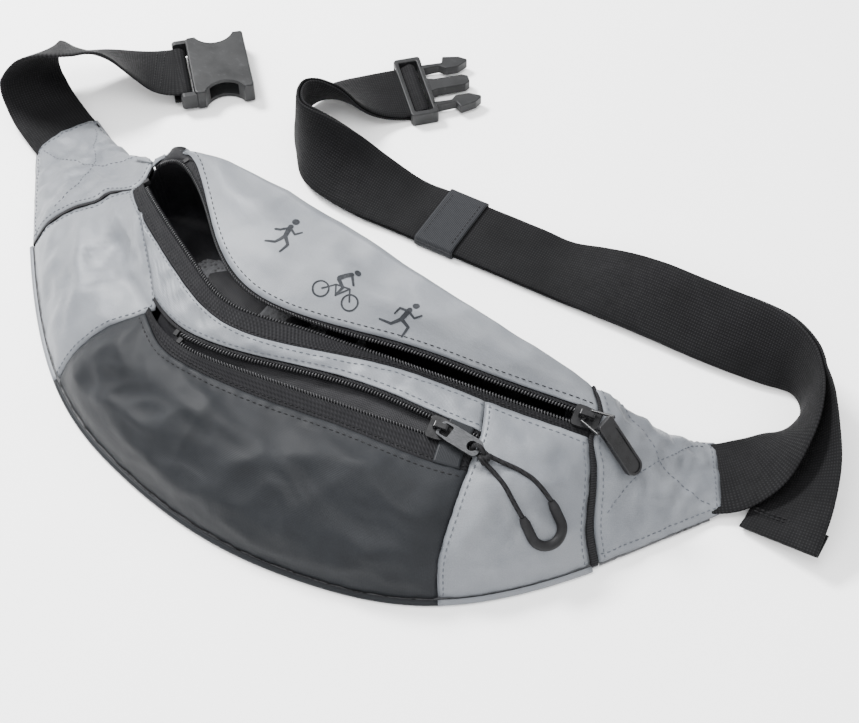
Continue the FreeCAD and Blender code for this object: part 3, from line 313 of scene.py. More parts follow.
def make_webbing():
    look = Look("webbing", Sheen_Weight=0.01, Sheen_Roughness=0.5, Specular_IOR_Level=0.06)
    at = look.cloth_coords()
    yarn = look.bands(at, 1.3, "X")
    cross = look.bands(at, 1.5, "Y")
    herring = look.sums(yarn, cross, "MULTIPLY")
    tone = look.ramp(herring, (0.0040, 0.0040, 0.0044), (0.0112, 0.0112, 0.0120), 0.1, 0.8)
    fade = look.ramp(look.cloud(at, 24, 3), (0.75, 0.75, 0.75), (1.15, 1.15, 1.15))
    look.colour(look.mixed(1.0, tone, fade, "MULTIPLY"))
    look.rough(look.cloud(at, 3, 3), 0.62, 0.8)
    look.bump(herring, 0.18)
    return look.mat


def make_elastic():
    look = Look("keeper_elastic", Sheen_Weight=0.02, Sheen_Roughness=0.5, Specular_IOR_Level=0.1)
    at = look.cloth_coords()
    ribs = look.bands(at, 0.9, "X")
    look.colour(look.ramp(ribs, (0.0090, 0.0095, 0.011), (0.019, 0.020, 0.0225)))
    look.rough(look.cloud(at, 3, 3), 0.55, 0.75)
    look.bump(ribs, 0.14)
    return look.mat


def make_plastic():
    look = Look("buckle_plastic", Specular_IOR_Level=0.22)
    at = look.solid_coords()
    broad = look.cloud(at, 12, 4)
    tone = look.ramp(broad, (0.0075, 0.0078, 0.0083), (0.0122, 0.0126, 0.0134))
    scuffs = look.ramp(look.cloud(look.stretched(at, 1, 3), 5, 5), (0, 0, 0), (1, 1, 1), 0.58, 0.72)
    look.colour(look.mixed(scuffs, tone, (0.020, 0.0205, 0.022)))
    look.rough(broad, 0.34, 0.46)
    look.bump(look.cloud(at, 0.5, 3), 0.04)
    return look.mat


def make_thread(name, tone):
    look = Look(name, Sheen_Weight=0.02, Specular_IOR_Level=0.15)
    at = look.solid_coords()
    ply = look.bands(at, 0.35, "DIAGONAL")
    dark = tuple(c * 0.6 for c in tone)
    look.colour(look.ramp(ply, dark, tone))
    look.rough(look.cloud(at, 2, 2), 0.5, 0.7)
    look.bump(ply, 0.05)
    return look.mat


def make_print():
    look = Look("panel_print", Specular_IOR_Level=0.1)
    at = look.solid_coords()
    worn = look.cloud(at, 1.5, 4)
    look.colour(look.ramp(worn, (0.010, 0.011, 0.013), (0.024, 0.026, 0.030)))
    look.rough(worn, 0.45, 0.6)
    look.bump(worn, 0.03)
    return look.mat


def make_floor():
    look = Look("floor_paper", Specular_IOR_Level=0.2)
    at = look.solid_coords()
    look.colour(look.ramp(look.cloud(at, 90, 3), (0.975, 0.975, 0.977), (0.99, 0.99, 0.992)))
    look.rough(look.cloud(at, 6, 3), 0.75, 0.85)
    look.bump(look.cloud(at, 1.0, 2), 0.01)
    return look.mat


REFLECTIVE, DARK, LINING = make_reflective(), make_dark(), make_lining()
BACK_MESH, BINDING, TAPE = make_mesh(), make_binding(), make_tape()
COIL, METAL, TAB = make_coil(), make_gloss_metal(), make_tab_metal()
CORD, RUBBER, WEBBING = make_cord(), make_rubber(), make_webbing()
ELASTIC, PLASTIC = make_elastic(), make_plastic()
GREY_THREAD = make_thread("grey_thread", (0.085, 0.093, 0.108))
BLACK_THREAD = make_thread("black_thread", (0.008, 0.008, 0.009))
PRINT = make_print()

# ---------------------------------------------------------------- mesh building

# Points are worked out in millimetres as arrays of [row, column, xyz].


def unit(v):
    return v / np.maximum(np.linalg.norm(v, axis=-1, keepdims=True), 1e-9)


def add_mesh(name, verts, faces, look, uvs=None, smooth=True):
    """Makes an object from points in millimetres. uvs has one pair per point."""
    data = bpy.data.meshes.new(name)
    data.from_pydata([tuple(v) for v in np.asarray(verts) * MM], [], faces)
    data.materials.append(look)
    if uvs is not None:
        layer = data.uv_layers.new(name="weave")
        where = np.zeros(len(data.loops), dtype=np.int32)
        data.loops.foreach_get("vertex_index", where)
        layer.data.foreach_set("uv", np.asarray(uvs, np.float32)[where].ravel())
    data.polygons.foreach_set("use_smooth", [smooth] * len(data.polygons))
    data.update()
    obj = bpy.data.objects.new(name, data)
    bpy.context.collection.objects.link(obj)
    return obj


def grid_uvs(grid):
    """Lengths along the middle row and the middle column, in millimetres."""
    rows, cols = grid.shape[:2]
    along = np.concatenate([[0], np.cumsum(np.linalg.norm(np.diff(grid[rows // 2], axis=0),
                                                          axis=1))])
    up = np.concatenate([[0], np.cumsum(np.linalg.norm(np.diff(grid[:, cols // 2], axis=0),
                                                       axis=1))])
    return np.stack(np.broadcast_arrays(along[None, :], up[:, None]), axis=-1)


def closed_mesh(name, outer, inner, look):
    """Closed thin piece between two grids, with the outer one facing along run x rise."""
    rows, cols = outer.shape[:2]
    count = rows * cols

    def at(i, j, layer=0):
        return layer * count + i * cols + j

    faces = []
    for i in range(rows - 1):
        for j in range(cols - 1):
            faces.append((at(i, j), at(i, j + 1), at(i + 1, j + 1), at(i + 1, j)))
            faces.append((at(i, j, 1), at(i + 1, j, 1), at(i + 1, j + 1, 1), at(i, j + 1, 1)))
    for j in range(cols - 1):
        faces.append((at(0, j), at(0, j, 1), at(0, j + 1, 1), at(0, j + 1)))
        faces.append((at(rows - 1, j), at(rows - 1, j + 1), at(rows - 1, j + 1, 1),
                      at(rows - 1, j, 1)))
    for i in range(rows - 1):
        faces.append((at(i, 0), at(i + 1, 0), at(i + 1, 0, 1), at(i, 0, 1)))
        faces.append((at(i, cols - 1), at(i, cols - 1, 1), at(i + 1, cols - 1, 1),
                      at(i + 1, cols - 1)))
    verts = np.concatenate([outer.reshape(-1, 3), inner.reshape(-1, 3)])
    uv = grid_uvs(outer).reshape(-1, 2)
    return add_mesh(name, verts, faces, look, np.concatenate([uv, uv]))


def normals_of(grid):
    return unit(np.cross(np.gradient(grid, axis=1), np.gradient(grid, axis=0)))


def tubes(name, paths, radius, sides, look, taper=True):
    """One mesh of round tubes, closed at both ends, along dense lists of points."""
    verts, faces = [], []
    for path in paths:
        path = np.asarray(path, float)
        ahead = unit(np.gradient(path, axis=0))
        guide = np.array([0.3, 0.2, 0.93])
        side = unit(np.cross(ahead, guide))
        up = np.cross(side, ahead)
        start = len(verts)
        count = len(path)
        for k in range(count):
            share = radius if not taper or 0 < k < count - 1 else radius * 0.55
            for s in range(sides):
                angle = 2 * math.pi * s / sides
                verts.append(path[k] + (side[k] * math.cos(angle) + up[k] * math.sin(angle)) * share)
        for k in range(count - 1):
            for s in range(sides):
                a, b = start + k * sides + s, start + k * sides + (s + 1) % sides
                faces.append((a, b, b + sides, a + sides))
        faces.append(tuple(start + s for s in reversed(range(sides))))
        faces.append(tuple(start + (count - 1) * sides + s for s in range(sides)))
    return add_mesh(name, np.array(verts), faces, look)


# ---------------------------------------------------------------- lines of the pack

STATIONS = 24
DARK_LEFT, DARK_RIGHT = 4, 20
KNOTS = [i / 6 for i in range(7)]

LINES = {
    "foot": [(-168, 12, 3), (-98, -47, 3), (-40, -69, 3), (15, -75, 3), (68, -68, 3),
             (122, -45, 3), (171, 10, 3)],
    "belly": [(-161, 19, 17), (-91, -38, 20), (-38, -60, 21), (13, -66, 22), (64, -58, 22),
              (117, -37, 21), (163, 17, 16)],
    "chest": [(-150, 28, 27), (-80, -25, 33), (-36, -41, 35), (9, -41, 36), (60, -34, 36),
              (113, -20, 34), (157, 28, 26)],
    "pocket_lip": [(-138, 34, 34), (-67, -11, 38), (-38, -25, 39.5), (7, -22, 40),
                   (56, -13.5, 41), (109, -3, 41), (152, 36, 33)],
    "strip_foot": [(-134, 40, 37), (-67, -3, 42), (-34, -11.5, 44), (-0.5, -4.5, 44.6),
                   (50.2, 9.5, 45.2), (104, 16, 44.8), (149, 39, 36.5)],
    "main_lip": [(-119, 45, 44), (-104, 31, 48), (-57, 7, 49.5), (-12, -0.5, 49.2),
                 (46.2, 20.5, 46.4), (96, 31.4, 43.5), (145.8, 42.4, 40.6)],
    "upper_lip": [(-121, 59.5, 45), (-100, 68, 57), (-66, 41, 55.5), (-19, 18.5, 52.5),
                  (43.2, 34.1, 48), (93, 45, 45.2), (142.8, 56, 42.2)],
    "upper_mid": [(-122, 61.3, 45.5), (-99.5, 69.7, 58), (-62.5, 57.5, 60), (-14.5, 44, 59),
                  (43.5, 49.5, 56.5), (94, 54, 52.5), (138.5, 61, 43)],
    "crown": [(-123, 63, 45), (-99, 71, 58), (-58, 73, 60), (-9, 70, 61), (44, 64.5, 60),
              (94, 62.5, 55.5), (133, 66, 43)],
    "rear_mid": [(-125.5, 67.5, 25), (-98, 77.5, 32), (-57, 80, 33), (-8, 78.5, 33),
                 (44, 74.5, 33), (94, 71, 31), (136, 69.5, 24)],
    "rear": [(-126, 68, 3), (-97, 77, 3), (-56, 80, 3), (-8, 79, 3), (44, 76, 3),
             (94, 72, 3), (136, 69, 3)],
}
MAIN_RUN = [(13, (8, 16, 49)), (24, (145, 46, 41))]
POCKET_RUN = [(11, (-12, -17, 42.3)), (20, (106, 5.7, 43))]
MAIN_BEND = [(0, (-117.5, 50, 45.3)), (4, (-99, 37, 49.7)), (8, (-53, 14.5, 51)),
             (11, (-21, 8, 50.6))]
POCKET_BEND = [(4, (-66.8, -8.2, 39.6)), (6, (-52, -15.5, 40.6)), (8, (-36, -19, 41.4))]


def spline(points, knots):
    """A smooth curve through given points, as a function of the knot value."""
    p, k = np.array(points, float), np.array(knots, float)
    h = np.diff(k)
    d = np.diff(p, axis=0) / h[:, None]
    n = len(k)
    matrix, right = np.zeros((n, n)), np.zeros((n, 3))
    matrix[0, 0] = matrix[-1, -1] = 1
    right[0] = d[0] - (d[1] - d[0]) * h[0] / (h[0] + h[1])
    right[-1] = d[-1] + (d[-1] - d[-2]) * h[-1] / (h[-2] + h[-1])
    for i in range(1, n - 1):
        matrix[i, i - 1:i + 2] = h[i], 2 * (h[i - 1] + h[i]), h[i - 1]
        right[i] = 3 * (h[i] * d[i - 1] + h[i - 1] * d[i])
    slopes = np.linalg.solve(matrix, right)

    def at(x):
        x = np.atleast_1d(np.asarray(x, float))
        i = np.clip(np.searchsorted(k, x) - 1, 0, n - 2)
        t, w = ((x - k[i]) / h[i])[:, None], h[i][:, None]
        return (p[i] * (1 + 2 * t) * (1 - t) ** 2 + slopes[i] * w * t * (1 - t) ** 2
                + p[i + 1] * t * t * (3 - 2 * t) + slopes[i + 1] * w * t * t * (t - 1))
    return at


def chain_line(bend, run):
    """Centre line of one coil: smooth up to the start of its run, and straight after it."""
    (first, start), (last, end) = run
    start, end = np.array(start, float), np.array(end, float)
    knots = [station for station, point in bend] + [first]
    lead = start + (end - start) / (last - first)
    curve = spline([point for station, point in bend] + [start, lead], knots + [first + 1])

    def at(stations):
        s = np.atleast_1d(np.asarray(stations, float))
        straight = start + (end - start) * ((s - first) / (last - first))[:, None]
        return np.where((s <= first)[:, None], curve(np.minimum(s, first)), straight)
    return at


curves = {name: spline(points, KNOTS) for name, points in LINES.items()}
main_coil = chain_line(MAIN_BEND, MAIN_RUN)
pocket_coil = chain_line(POCKET_BEND, POCKET_RUN)
FAR_TAPE, LOOP_TAPE = 1.75, 3.2


def far_width(stations):
    """Width of the main zip's far tape, which widens where it loops round the left end."""
    share = np.clip((8 - np.asarray(stations, float)) / 4, 0, 1)
    return (FAR_TAPE + LOOP_TAPE * share * share * (3 - 2 * share))[:, None]



def line(name, stations):
    """Points of a named line at the given stations."""
    if name == "main_coil":
        return main_coil(stations)
    if name == "pocket_coil":
        return pocket_coil(stations)
    if name == "main_far_coil":
        lip = line("upper_lip", stations)
        return lip + unit(line("main_coil", stations) - lip) * far_width(stations)
    if name == "pocket_far_coil":
        lip = line("strip_foot", stations)
        return lip + unit(line("pocket_lip", stations) - lip) * FAR_TAPE
    return curves[name](np.asarray(stations, float) / STATIONS)


SKIN = ["foot", "belly", "chest", "pocket_lip", "strip_foot", "main_lip", "main_coil",
        "main_far_coil", "upper_lip", "upper_mid", "crown", "rear_mid", "rear"]
CHAIN_NEIGHBOURS = {"pocket_coil": ("pocket_lip", "strip_foot"),
                    "pocket_far_coil": ("pocket_lip", "strip_foot")}


def skin_normal(name, stations):
    """Outward normals of the skin along a line."""
    if name in CHAIN_NEIGHBOURS:
        before, after = CHAIN_NEIGHBOURS[name]
    else:
        place = SKIN.index(name)
        before, after = SKIN[max(place - 1, 0)], SKIN[min(place + 1, len(SKIN) - 1)]
    s = np.asarray(stations, float)
    run = line(name, np.minimum(s + 0.25, STATIONS)) - line(name, np.maximum(s - 0.25, 0))
    normal = np.cross(run, line(after, s) - line(before, s))
    if name in ("foot", "rear"):
        normal[:, 2] = 0
    return unit(normal)


def stations(first, last, step=0.15):
    return np.linspace(first, last, max(int(round((last - first) / step)), 2) + 1)


def crossed(rows, per, fullness=1.0):
    """Fills in rows between the given ones, on curves across them."""
    rows = np.asarray(rows, float)
    filled = []
    for i in range(len(rows) - 1):
        before, start = rows[max(i - 1, 0)], rows[i]
        end, after = rows[i + 1], rows[min(i + 2, len(rows) - 1)]
        steps = per[i] if isinstance(per, (list, tuple)) else per
        for k in range(steps):
            f = k / steps
            curve = (start * 2 + (end - before) * f
                     + (before * 2 - start * 5 + end * 4 - after) * f * f
                     + (start * 3 - before - end * 3 + after) * f ** 3) * 0.5
            straight = start + (end - start) * f
            filled.append(straight + (curve - straight) * fullness)
    return np.array(filled + [rows[-1]])


def skin_grid(names, s, spacing=2.2, fullness=1.0):
    """Smooth grid over some lines of the skin."""
    rows = np.array([line(name, s) for name in names])
    gaps = np.linalg.norm(np.diff(rows, axis=0), axis=2).mean(axis=1)
    return crossed(rows, [max(int(round(g / spacing)), 2) for g in gaps], fullness)


def edge_distances(grid):
    """Distances in millimetres of each point from the first and last row and column."""
    up = np.linalg.norm(np.diff(grid, axis=0), axis=2)
    along = np.linalg.norm(np.diff(grid, axis=1), axis=2)
    from_first_row = np.concatenate([np.zeros((1, grid.shape[1])), np.cumsum(up, axis=0)])
    from_first_col = np.concatenate([np.zeros((grid.shape[0], 1)), np.cumsum(along, axis=1)],
                                    axis=1)
    return (from_first_row, from_first_row[-1:] - from_first_row,
            from_first_col, from_first_col[:, -1:] - from_first_col)


def noise_field(grid, span, seed, stretch=(1, 1, 1), ridged=False):
    """Smooth noise at each point, from -1 to 1. ridged makes sharp crests."""
    flat = grid.reshape(-1, 3) * np.array(stretch) / span + seed
    values = np.array([noise.noise(Vector(p)) for p in flat]).reshape(grid.shape[:2])
    values = np.clip(values * 1.5, -1, 1)
    return 1 - 2 * np.abs(values) if ridged else values


FOLD_BOOST = 1.6


def fold_field(grid, folds):
    """Height of listed folds: (start, end, width, height) each."""
    total = np.zeros(grid.shape[:2])
    for start, end, width, height in folds:
        a, b = np.array(start, float), np.array(end, float)
        t = np.clip(((grid - a) @ (b - a)) / ((b - a) @ (b - a)), 0, 1)
        away = np.linalg.norm(grid - (a + t[..., None] * (b - a)), axis=2)
        total += FOLD_BOOST * height * np.exp(-(away / width) ** 1.25) * np.sin(np.pi * (0.08 + 0.84 * t))
    return total


def ruffled(grid, puff=0.0, puff_width=9.0, crease=0.0, crease_span=20.0, ripple=0.0,
            ripple_span=6.0, stretch=(1, 1, 1), folds=(), edges=(0, 0, 0, 0), pucker=0.0, seed=1.0):
    """The grid with its cloth relief. edges gives the height at the first and last row and
    the first and last column: below zero a seam that is drawn in, above zero a hem."""
    normal = normals_of(grid)
    sides = edge_distances(grid)
    near = np.minimum.reduce([d for d, e in zip(sides, edges) if e] or [sides[0] * 0 + 99])
    inside = 1 - np.exp(-(near / puff_width) ** 2)
    height = puff * inside + fold_field(grid, folds) * inside
    if crease:
        broad = noise_field(grid, crease_span, seed, stretch, True)
        close = noise_field(grid, crease_span * 0.42, seed + 3, stretch, True)
        height = height + crease * inside * (broad + 0.45 * close)
    if ripple:
        height = height + ripple * inside * noise_field(grid, ripple_span, seed + 7, stretch)
    if pucker:
        close = np.exp(-(near / 7.0) ** 2)
        height = height + pucker * close * noise_field(grid, 5.0, seed + 13)
    for distance, edge in zip(sides, edges):
        if edge < 0:
            height = height + edge * np.exp(-(distance / 1.5) ** 2)
        elif edge > 0:
            height = height + edge / (1 + np.exp((distance - 5.0) / 0.5))
    return grid + normal * height[..., None]


def cloth(name, grid, thickness, look, body="pack", replaces=None):
    """A thin cloth piece whose outer face is the grid."""
    piece = closed_mesh(name, grid, grid - normals_of(grid) * thickness, look)
    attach(piece, body)
    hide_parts(*(replaces or [name]))
    return piece


def flat_size(grid):
    """Mean length, mean height and area of a grid, in metres."""
    along = np.linalg.norm(np.diff(grid, axis=1), axis=2).sum(axis=1)
    up = np.linalg.norm(np.diff(grid, axis=0), axis=2).sum(axis=0)
    a, b = grid[1:, :-1] - grid[:-1, :-1], grid[:-1, 1:] - grid[:-1, :-1]
    area = np.linalg.norm(np.cross(a, b), axis=2).sum()
    return along.max() * MM, up.max() * MM, area * MM * MM


def declare_sheet(grid):
    width, length, area = flat_size(grid)
    area = min(max(area, 0.31 * width * length), width * length)


# ---------------------------------------------------------------- stitches

stitch_store = {}


def stitches(body, thread, path, normal, pitch=3.2, length=2.3, radius=0.24):
    """Adds a row of stitches along a dense path that lies on the cloth."""
    gaps = np.linalg.norm(np.diff(path, axis=0), axis=1)
    travelled = np.concatenate([[0], np.cumsum(gaps)])
    begin = pitch / 2
    while begin + length < travelled[-1]:
        at = np.linspace(begin, begin + length, 5)
        points = np.stack([np.interp(at, travelled, path[:, k]) for k in range(3)], axis=1)
        up = unit(np.stack([np.interp(at, travelled, normal[:, k]) for k in range(3)], axis=1))
        lift = np.array([-0.25, 0.12, 0.17, 0.12, -0.25])[:, None]
        stitch_store.setdefault((body, thread), []).append((points + up * lift, radius))
        begin += pitch


def inset_path(grid, side, inset):
    """Points and normals at a distance in from one side: first, last, left or right."""
    if side in ("left", "right"):
        grid = np.swapaxes(grid, 0, 1)
        side = "first" if side == "left" else "last"
        facing = -normals_of(grid)
    else:
        facing = normals_of(grid)
    if side == "last":
        grid, facing = grid[::-1], facing[::-1]
    steps = np.linalg.norm(np.diff(grid, axis=0), axis=2)
    depth = np.concatenate([np.zeros((1, grid.shape[1])), np.cumsum(steps, axis=0)])
    points, normals = [], []
    for j in range(grid.shape[1]):
        if depth[-1, j] < inset:
            continue
        points.append([np.interp(inset, depth[:, j], grid[:, j, k]) for k in range(3)])
        normals.append([np.interp(inset, depth[:, j], facing[:, j, k]) for k in range(3)])
    return np.array(points), unit(np.array(normals))


def index_path(grid, start, end, count=60):
    """Points and normals on a straight line between two (row, column) shares of a grid."""
    rows, cols = grid.shape[:2]
    facing = normals_of(grid)
    i = np.linspace(start[0], end[0], count) * (rows - 1)
    j = np.linspace(start[1], end[1], count) * (cols - 1)
    i0 = np.clip(np.floor(i).astype(int), 0, rows - 2)
    j0 = np.clip(np.floor(j).astype(int), 0, cols - 2)
    fi, fj = (i - i0)[:, None], (j - j0)[:, None]

    def pick(a):
        return (a[i0, j0] * (1 - fi) * (1 - fj) + a[i0 + 1, j0] * fi * (1 - fj)
                + a[i0, j0 + 1] * (1 - fi) * fj + a[i0 + 1, j0 + 1] * fi * fj)
    return pick(grid), unit(pick(facing))


def edge_stitches(grid, sides, thread="grey"):
    for side, inset in sides:
        path, normal = inset_path(grid, side, inset)
        if len(path) > 3:
            stitches("pack", thread, path, normal)


# ---------------------------------------------------------------- outer cloth

LEFT_END, RIGHT_END = 0.06, STATIONS - 0.17
FABRIC, TAPE_THICK, BACK = 1.0, 0.8, 3.0
FRONT = ["foot", "belly", "chest", "pocket_lip", "strip_foot", "main_lip"]

POCKET_FOLDS = [
    ((-66, -16, 38), (-62, -42, 27), 1.8, 1.0), ((-60, -19, 38), (-50, -46, 28), 1.7, -1.0),
    ((-56, -20, 39), (-38, -42, 33), 1.8, 1.0), ((-50, -22, 39), (-16, -36, 38), 2.0, 0.8),
    ((86, -8, 44), (60, -30, 38), 2.2, 0.8), ((30, -40, 36), (64, -50, 26), 2.4, 0.8),
    ((-60, -22, 38), (10, -38, 37), 3.6, 1.3), ((-46, -57, 22), (46, -42, 35), 5.5, 1.2),
    ((-7, -32, 38), (-8, -62, 26), 4.0, 1.0), ((77, -13, 41), (52, -55, 26), 6.0, 1.3),
    ((98, -10, 41), (70, -62, 14), 5.0, -1.2), ((20, -28, 40), (60, -24, 40), 3.5, 0.8),
    ((-70, -45, 22), (-30, -50, 28), 4.5, -1.0), ((-66, -14, 38), (-30, -34, 38), 3.0, 1.1),
    ((10, -52, 31), (28, -68, 15), 4.0, 0.7),
]


def outer_panel(node, name, grid, look, slot, rests_on, seams, thread="grey", **relief):
    """One sewn outer panel with its cloth relief and rows of stitches; its sheet size is worked out but
    not kept.
    """
    shaped = ruffled(grid, **relief)
    piece = cloth(name, shaped, FABRIC, look, replaces=[node])
    declare_sheet(shaped)
    edge_stitches(shaped, seams, thread)
    return shaped


outer_panel("pocket_panel", "pocket_panel_cloth",
            skin_grid(FRONT[:4], stations(DARK_LEFT, DARK_RIGHT, 0.12), 1.8),
            DARK, "dark_fabric", ["back_panel_pad"], [("last", 3.2)], "black",
            puff=1.6, crease=1.3, crease_span=24, ripple=0.35, ripple_span=9,
            stretch=(0.5, 1.0, 1.0), folds=POCKET_FOLDS, edges=(-0.9, 0.35, -0.8, -0.8),
            pucker=0.35, seed=3.0)

LEFT_FOLDS = [
    ((-134, 20, 31), (-100, -20, 32), 3.5, 1.5), ((-128, 36, 39), (-84, 10, 44), 3.0, 1.2),
    ((-112, 4, 36), (-76, -6, 40), 3.5, -1.2), ((-140, 5, 24), (-110, -32, 18), 4.0, 1.2),
    ((-122, -14, 26), (-88, -24, 32), 3.0, 1.1), ((-105, 26, 46), (-78, 10, 44), 2.6, 1.0),
]
outer_panel("left_side_panel", "left_side_cloth",
            skin_grid(FRONT, stations(LEFT_END, DARK_LEFT)),
            REFLECTIVE, "reflective_fabric", ["back_panel_pad"], 
            [("right", 2.6), ("left", 3.0), ("last", 3.0)],
            puff=1.3, crease=1.5, crease_span=20, ripple=0.5, ripple_span=7,
            stretch=(1.0, 0.6, 0.8), folds=LEFT_FOLDS, edges=(-0.9, 0.3, -0.8, -0.8),
            pucker=0.45, seed=11.0)

RIGHT_FOLDS = [
    ((125, 10, 40), (120, -38, 22), 5.0, 1.1), ((140, 8, 33), (135, -22, 18), 4.0, -0.9),
    ((150, 22, 31), (128, 6, 38), 3.0, 0.9), ((150, 2, 16), (132, -28, 12), 4.0, 0.9),
]
outer_panel("right_side_panel", "right_side_cloth",
            skin_grid(FRONT, stations(DARK_RIGHT, RIGHT_END)),
            REFLECTIVE, "reflective_fabric", ["back_panel_pad"], 
            [("left", 2.6), ("right", 3.0), ("last", 3.0)],
            puff=1.1, crease=1.3, crease_span=20, ripple=0.45, ripple_span=8,
            stretch=(0.7, 1, 0.7), folds=RIGHT_FOLDS, edges=(-0.9, 0.3, -0.8, -0.8),
            pucker=0.4, seed=23.0)

outer_panel("front_strip", "front_strip_cloth",
            skin_grid(FRONT[4:], stations(DARK_LEFT, DARK_RIGHT)),
            REFLECTIVE, "reflective_fabric", [], [("first", 2.6), ("last", 2.8)],
            puff=0.8, puff_width=4, crease=0.8, crease_span=13, ripple=0.5,
            ripple_span=6, edges=(0.35, 0.35, -0.7, -0.7), pucker=0.2, seed=31.0)

UPPER_FOLDS = [
    ((-80, 60, 59), (-20, 50, 60), 5.0, 0.9), ((-30, 66, 61), (30, 52, 58), 6.0, -0.8),
    ((20, 44, 55), (80, 52, 54), 5.0, 0.8), ((70, 46, 50), (120, 58, 46), 4.0, 0.9),
]
upper_grid = outer_panel("upper_panel", "upper_panel_cloth",
            skin_grid(["upper_lip", "upper_mid", "crown"], stations(LEFT_END, RIGHT_END)),
            REFLECTIVE, "reflective_fabric", [], [("first", 3.0)], "black",
            puff=0.7, crease=1.0, crease_span=27, ripple=0.4, ripple_span=10,
            stretch=(0.5, 1, 1), folds=UPPER_FOLDS, edges=(0.35, 0, -0.7, -0.7),
            pucker=0.3, seed=41.0)

outer_panel("top_gusset", "top_gusset_cloth",
            skin_grid(["crown", "rear_mid", "rear"], stations(LEFT_END, RIGHT_END)),
            REFLECTIVE, "reflective_fabric", ["back_panel_pad"], [("first", 2.6)],
            puff=0.9, crease=1.0, crease_span=22, ripple=0.5, ripple_span=9,
            stretch=(1, 1, 0.5), edges=(-0.5, -0.8, -0.7, -0.7), pucker=0.4, seed=53.0)


# ---------------------------------------------------------------- bindings

def seam_binding(name, first, last, height, node):
    s = np.linspace(first, last, 7)
    rows = np.array([line(n, s) for n in SKIN[:11]])
    gaps = np.linalg.norm(np.diff(rows, axis=0), axis=2).mean(axis=1)
    base = crossed(rows, [max(int(round(g / 2.0)), 2) for g in gaps])
    x = np.linspace(-1, 1, 7)
    lift = height * np.sqrt(np.maximum(1 - (x * 0.96) ** 2, 0))
    rolled = base + normals_of(base) * (lift[None, :, None] - 0.1)
    piece = closed_mesh(name, rolled, base - normals_of(base) * 1.0, BINDING)
    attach(piece, "pack")
    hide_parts(node)


# The left strip lies almost flush and keeps the dark binding look. This is painted shade: it draws the
# seam crease between the two grey panels as a thin dark line. The right strip is a real dark binding.
seam_binding("left_seam_painted_shade", 0.0, LEFT_END, 0.05, "left_seam_binding")
seam_binding("right_seam_tape", RIGHT_END, STATIONS, 0.6, "right_seam_binding")


def edge_binding(name, on, first, last, look, node):
    """Rolled edge along the foot or the rear edge of the back panel."""
    s = stations(first, last)
    points, normal = line(on, s), skin_normal(on, s)
    base = points * np.array([1, 1, 0])
    outer, inner = [], []
    for angle in np.linspace(-math.pi / 2, math.pi / 2, 9):
        height = 1.55 + 1.5 * math.sin(angle)
        outer.append(base + normal * (0.1 + 1.9 * math.cos(angle)) + [0, 0, height])
        inner.append(base + normal * 0.0 + [0, 0, height])
    outer, inner = np.array(outer), np.array(inner)
    piece = closed_mesh(name, outer, inner, look)
    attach(piece, "pack")
    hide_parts(node)


for name, on, first, last, look, slot in (
        ("lower_edge_left", "foot", LEFT_END, DARK_LEFT, REFLECTIVE, "reflective_fabric"),
        ("lower_edge_middle", "foot", DARK_LEFT, DARK_RIGHT, DARK, "dark_fabric"),
        ("lower_edge_right", "foot", DARK_RIGHT, RIGHT_END, REFLECTIVE, "reflective_fabric"),
        ("upper_edge", "rear", LEFT_END, RIGHT_END, REFLECTIVE, "reflective_fabric")):
    edge_binding(name, on, first, last, look, name.split("_")[0] + "_edge_binding")

# ---------------------------------------------------------------- back panel


def quilted(name, low_edge, high_edge, body, nodes):
    """Padded slab from the floor up to the back thickness, with quilt channels beneath."""
    shares = np.linspace(0, 1, 44)[:, None, None]
    flat = (low_edge[None] * (1 - shares) + high_edge[None] * shares) * np.array([1, 1, 0])
    sides = edge_distances(flat)
    near = np.minimum.reduce(sides)
    rounding = 1.1 * np.exp(-(near / 1.6) ** 2)
    channel_a = np.abs(((flat[..., 0] + flat[..., 1]) / 30) % 1 - 0.5)
    channel_b = np.abs(((flat[..., 0] - flat[..., 1]) / 30) % 1 - 0.5)
    grooves = np.exp(-(channel_a / 0.05) ** 2) + np.exp(-(channel_b / 0.05) ** 2)
    below, above = flat.copy(), flat.copy()
    below[..., 2] = rounding + 0.8 * np.minimum(grooves, 1)
    above[..., 2] = BACK - rounding
    piece = closed_mesh(name, above, below, BACK_MESH)
    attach(piece, body)
    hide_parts(*nodes)
    return piece


s = stations(0, STATIONS, 0.2)
quilted("back_panel_pad", line("foot", s), line("rear", s), "pack", ["back_panel"])

# ---------------------------------------------------------------- inner cloth


def inside(name, depth):
    return lambda s: line(name, s) - skin_normal(name, s) * depth


def on_floor(name, inset):
    def at(s):
        base = line(name, s) - skin_normal(name, s) * inset
        return base * np.array([1, 1, 0]) + np.array([0, 0, BACK + 1.0])
    return at


def closed_ends(grid, count):
    """Adds columns that draw each end of a tube of cloth together."""
    ends = []
    for column in (grid[:, 0], grid[:, -1]):
        middle = column.mean(axis=0) * 0.6 + column[len(column) // 2] * 0.4
        ends.append([middle + (column - middle) * (1 - k / count) for k in range(1, count)])
    first = np.stack(ends[0][::-1], axis=1)
    last = np.stack(ends[1], axis=1)
    return np.concatenate([first, grid, last], axis=1)


divider_rows = [on_floor("foot", 14), inside("belly", 11), inside("chest", 8.5),
                inside("pocket_lip", 6), inside("strip_foot", 2.8), inside("strip_foot", 1.4)]
s = stations(DARK_LEFT + 0.5, DARK_RIGHT - 0.5, 0.2)
grid = crossed([row(s) for row in divider_rows], 7, 0.6)
divider_grid = ruffled(grid, crease=0.4, crease_span=22, ripple=0.2, ripple_span=8,
                       edges=(-0.01, 0, 0, 0), seed=71.0)
pocket_back = cloth("pocket_back_cloth", divider_grid, 0.5, LINING,
                    replaces=["pocket_back"])
declare_sheet(divider_grid)

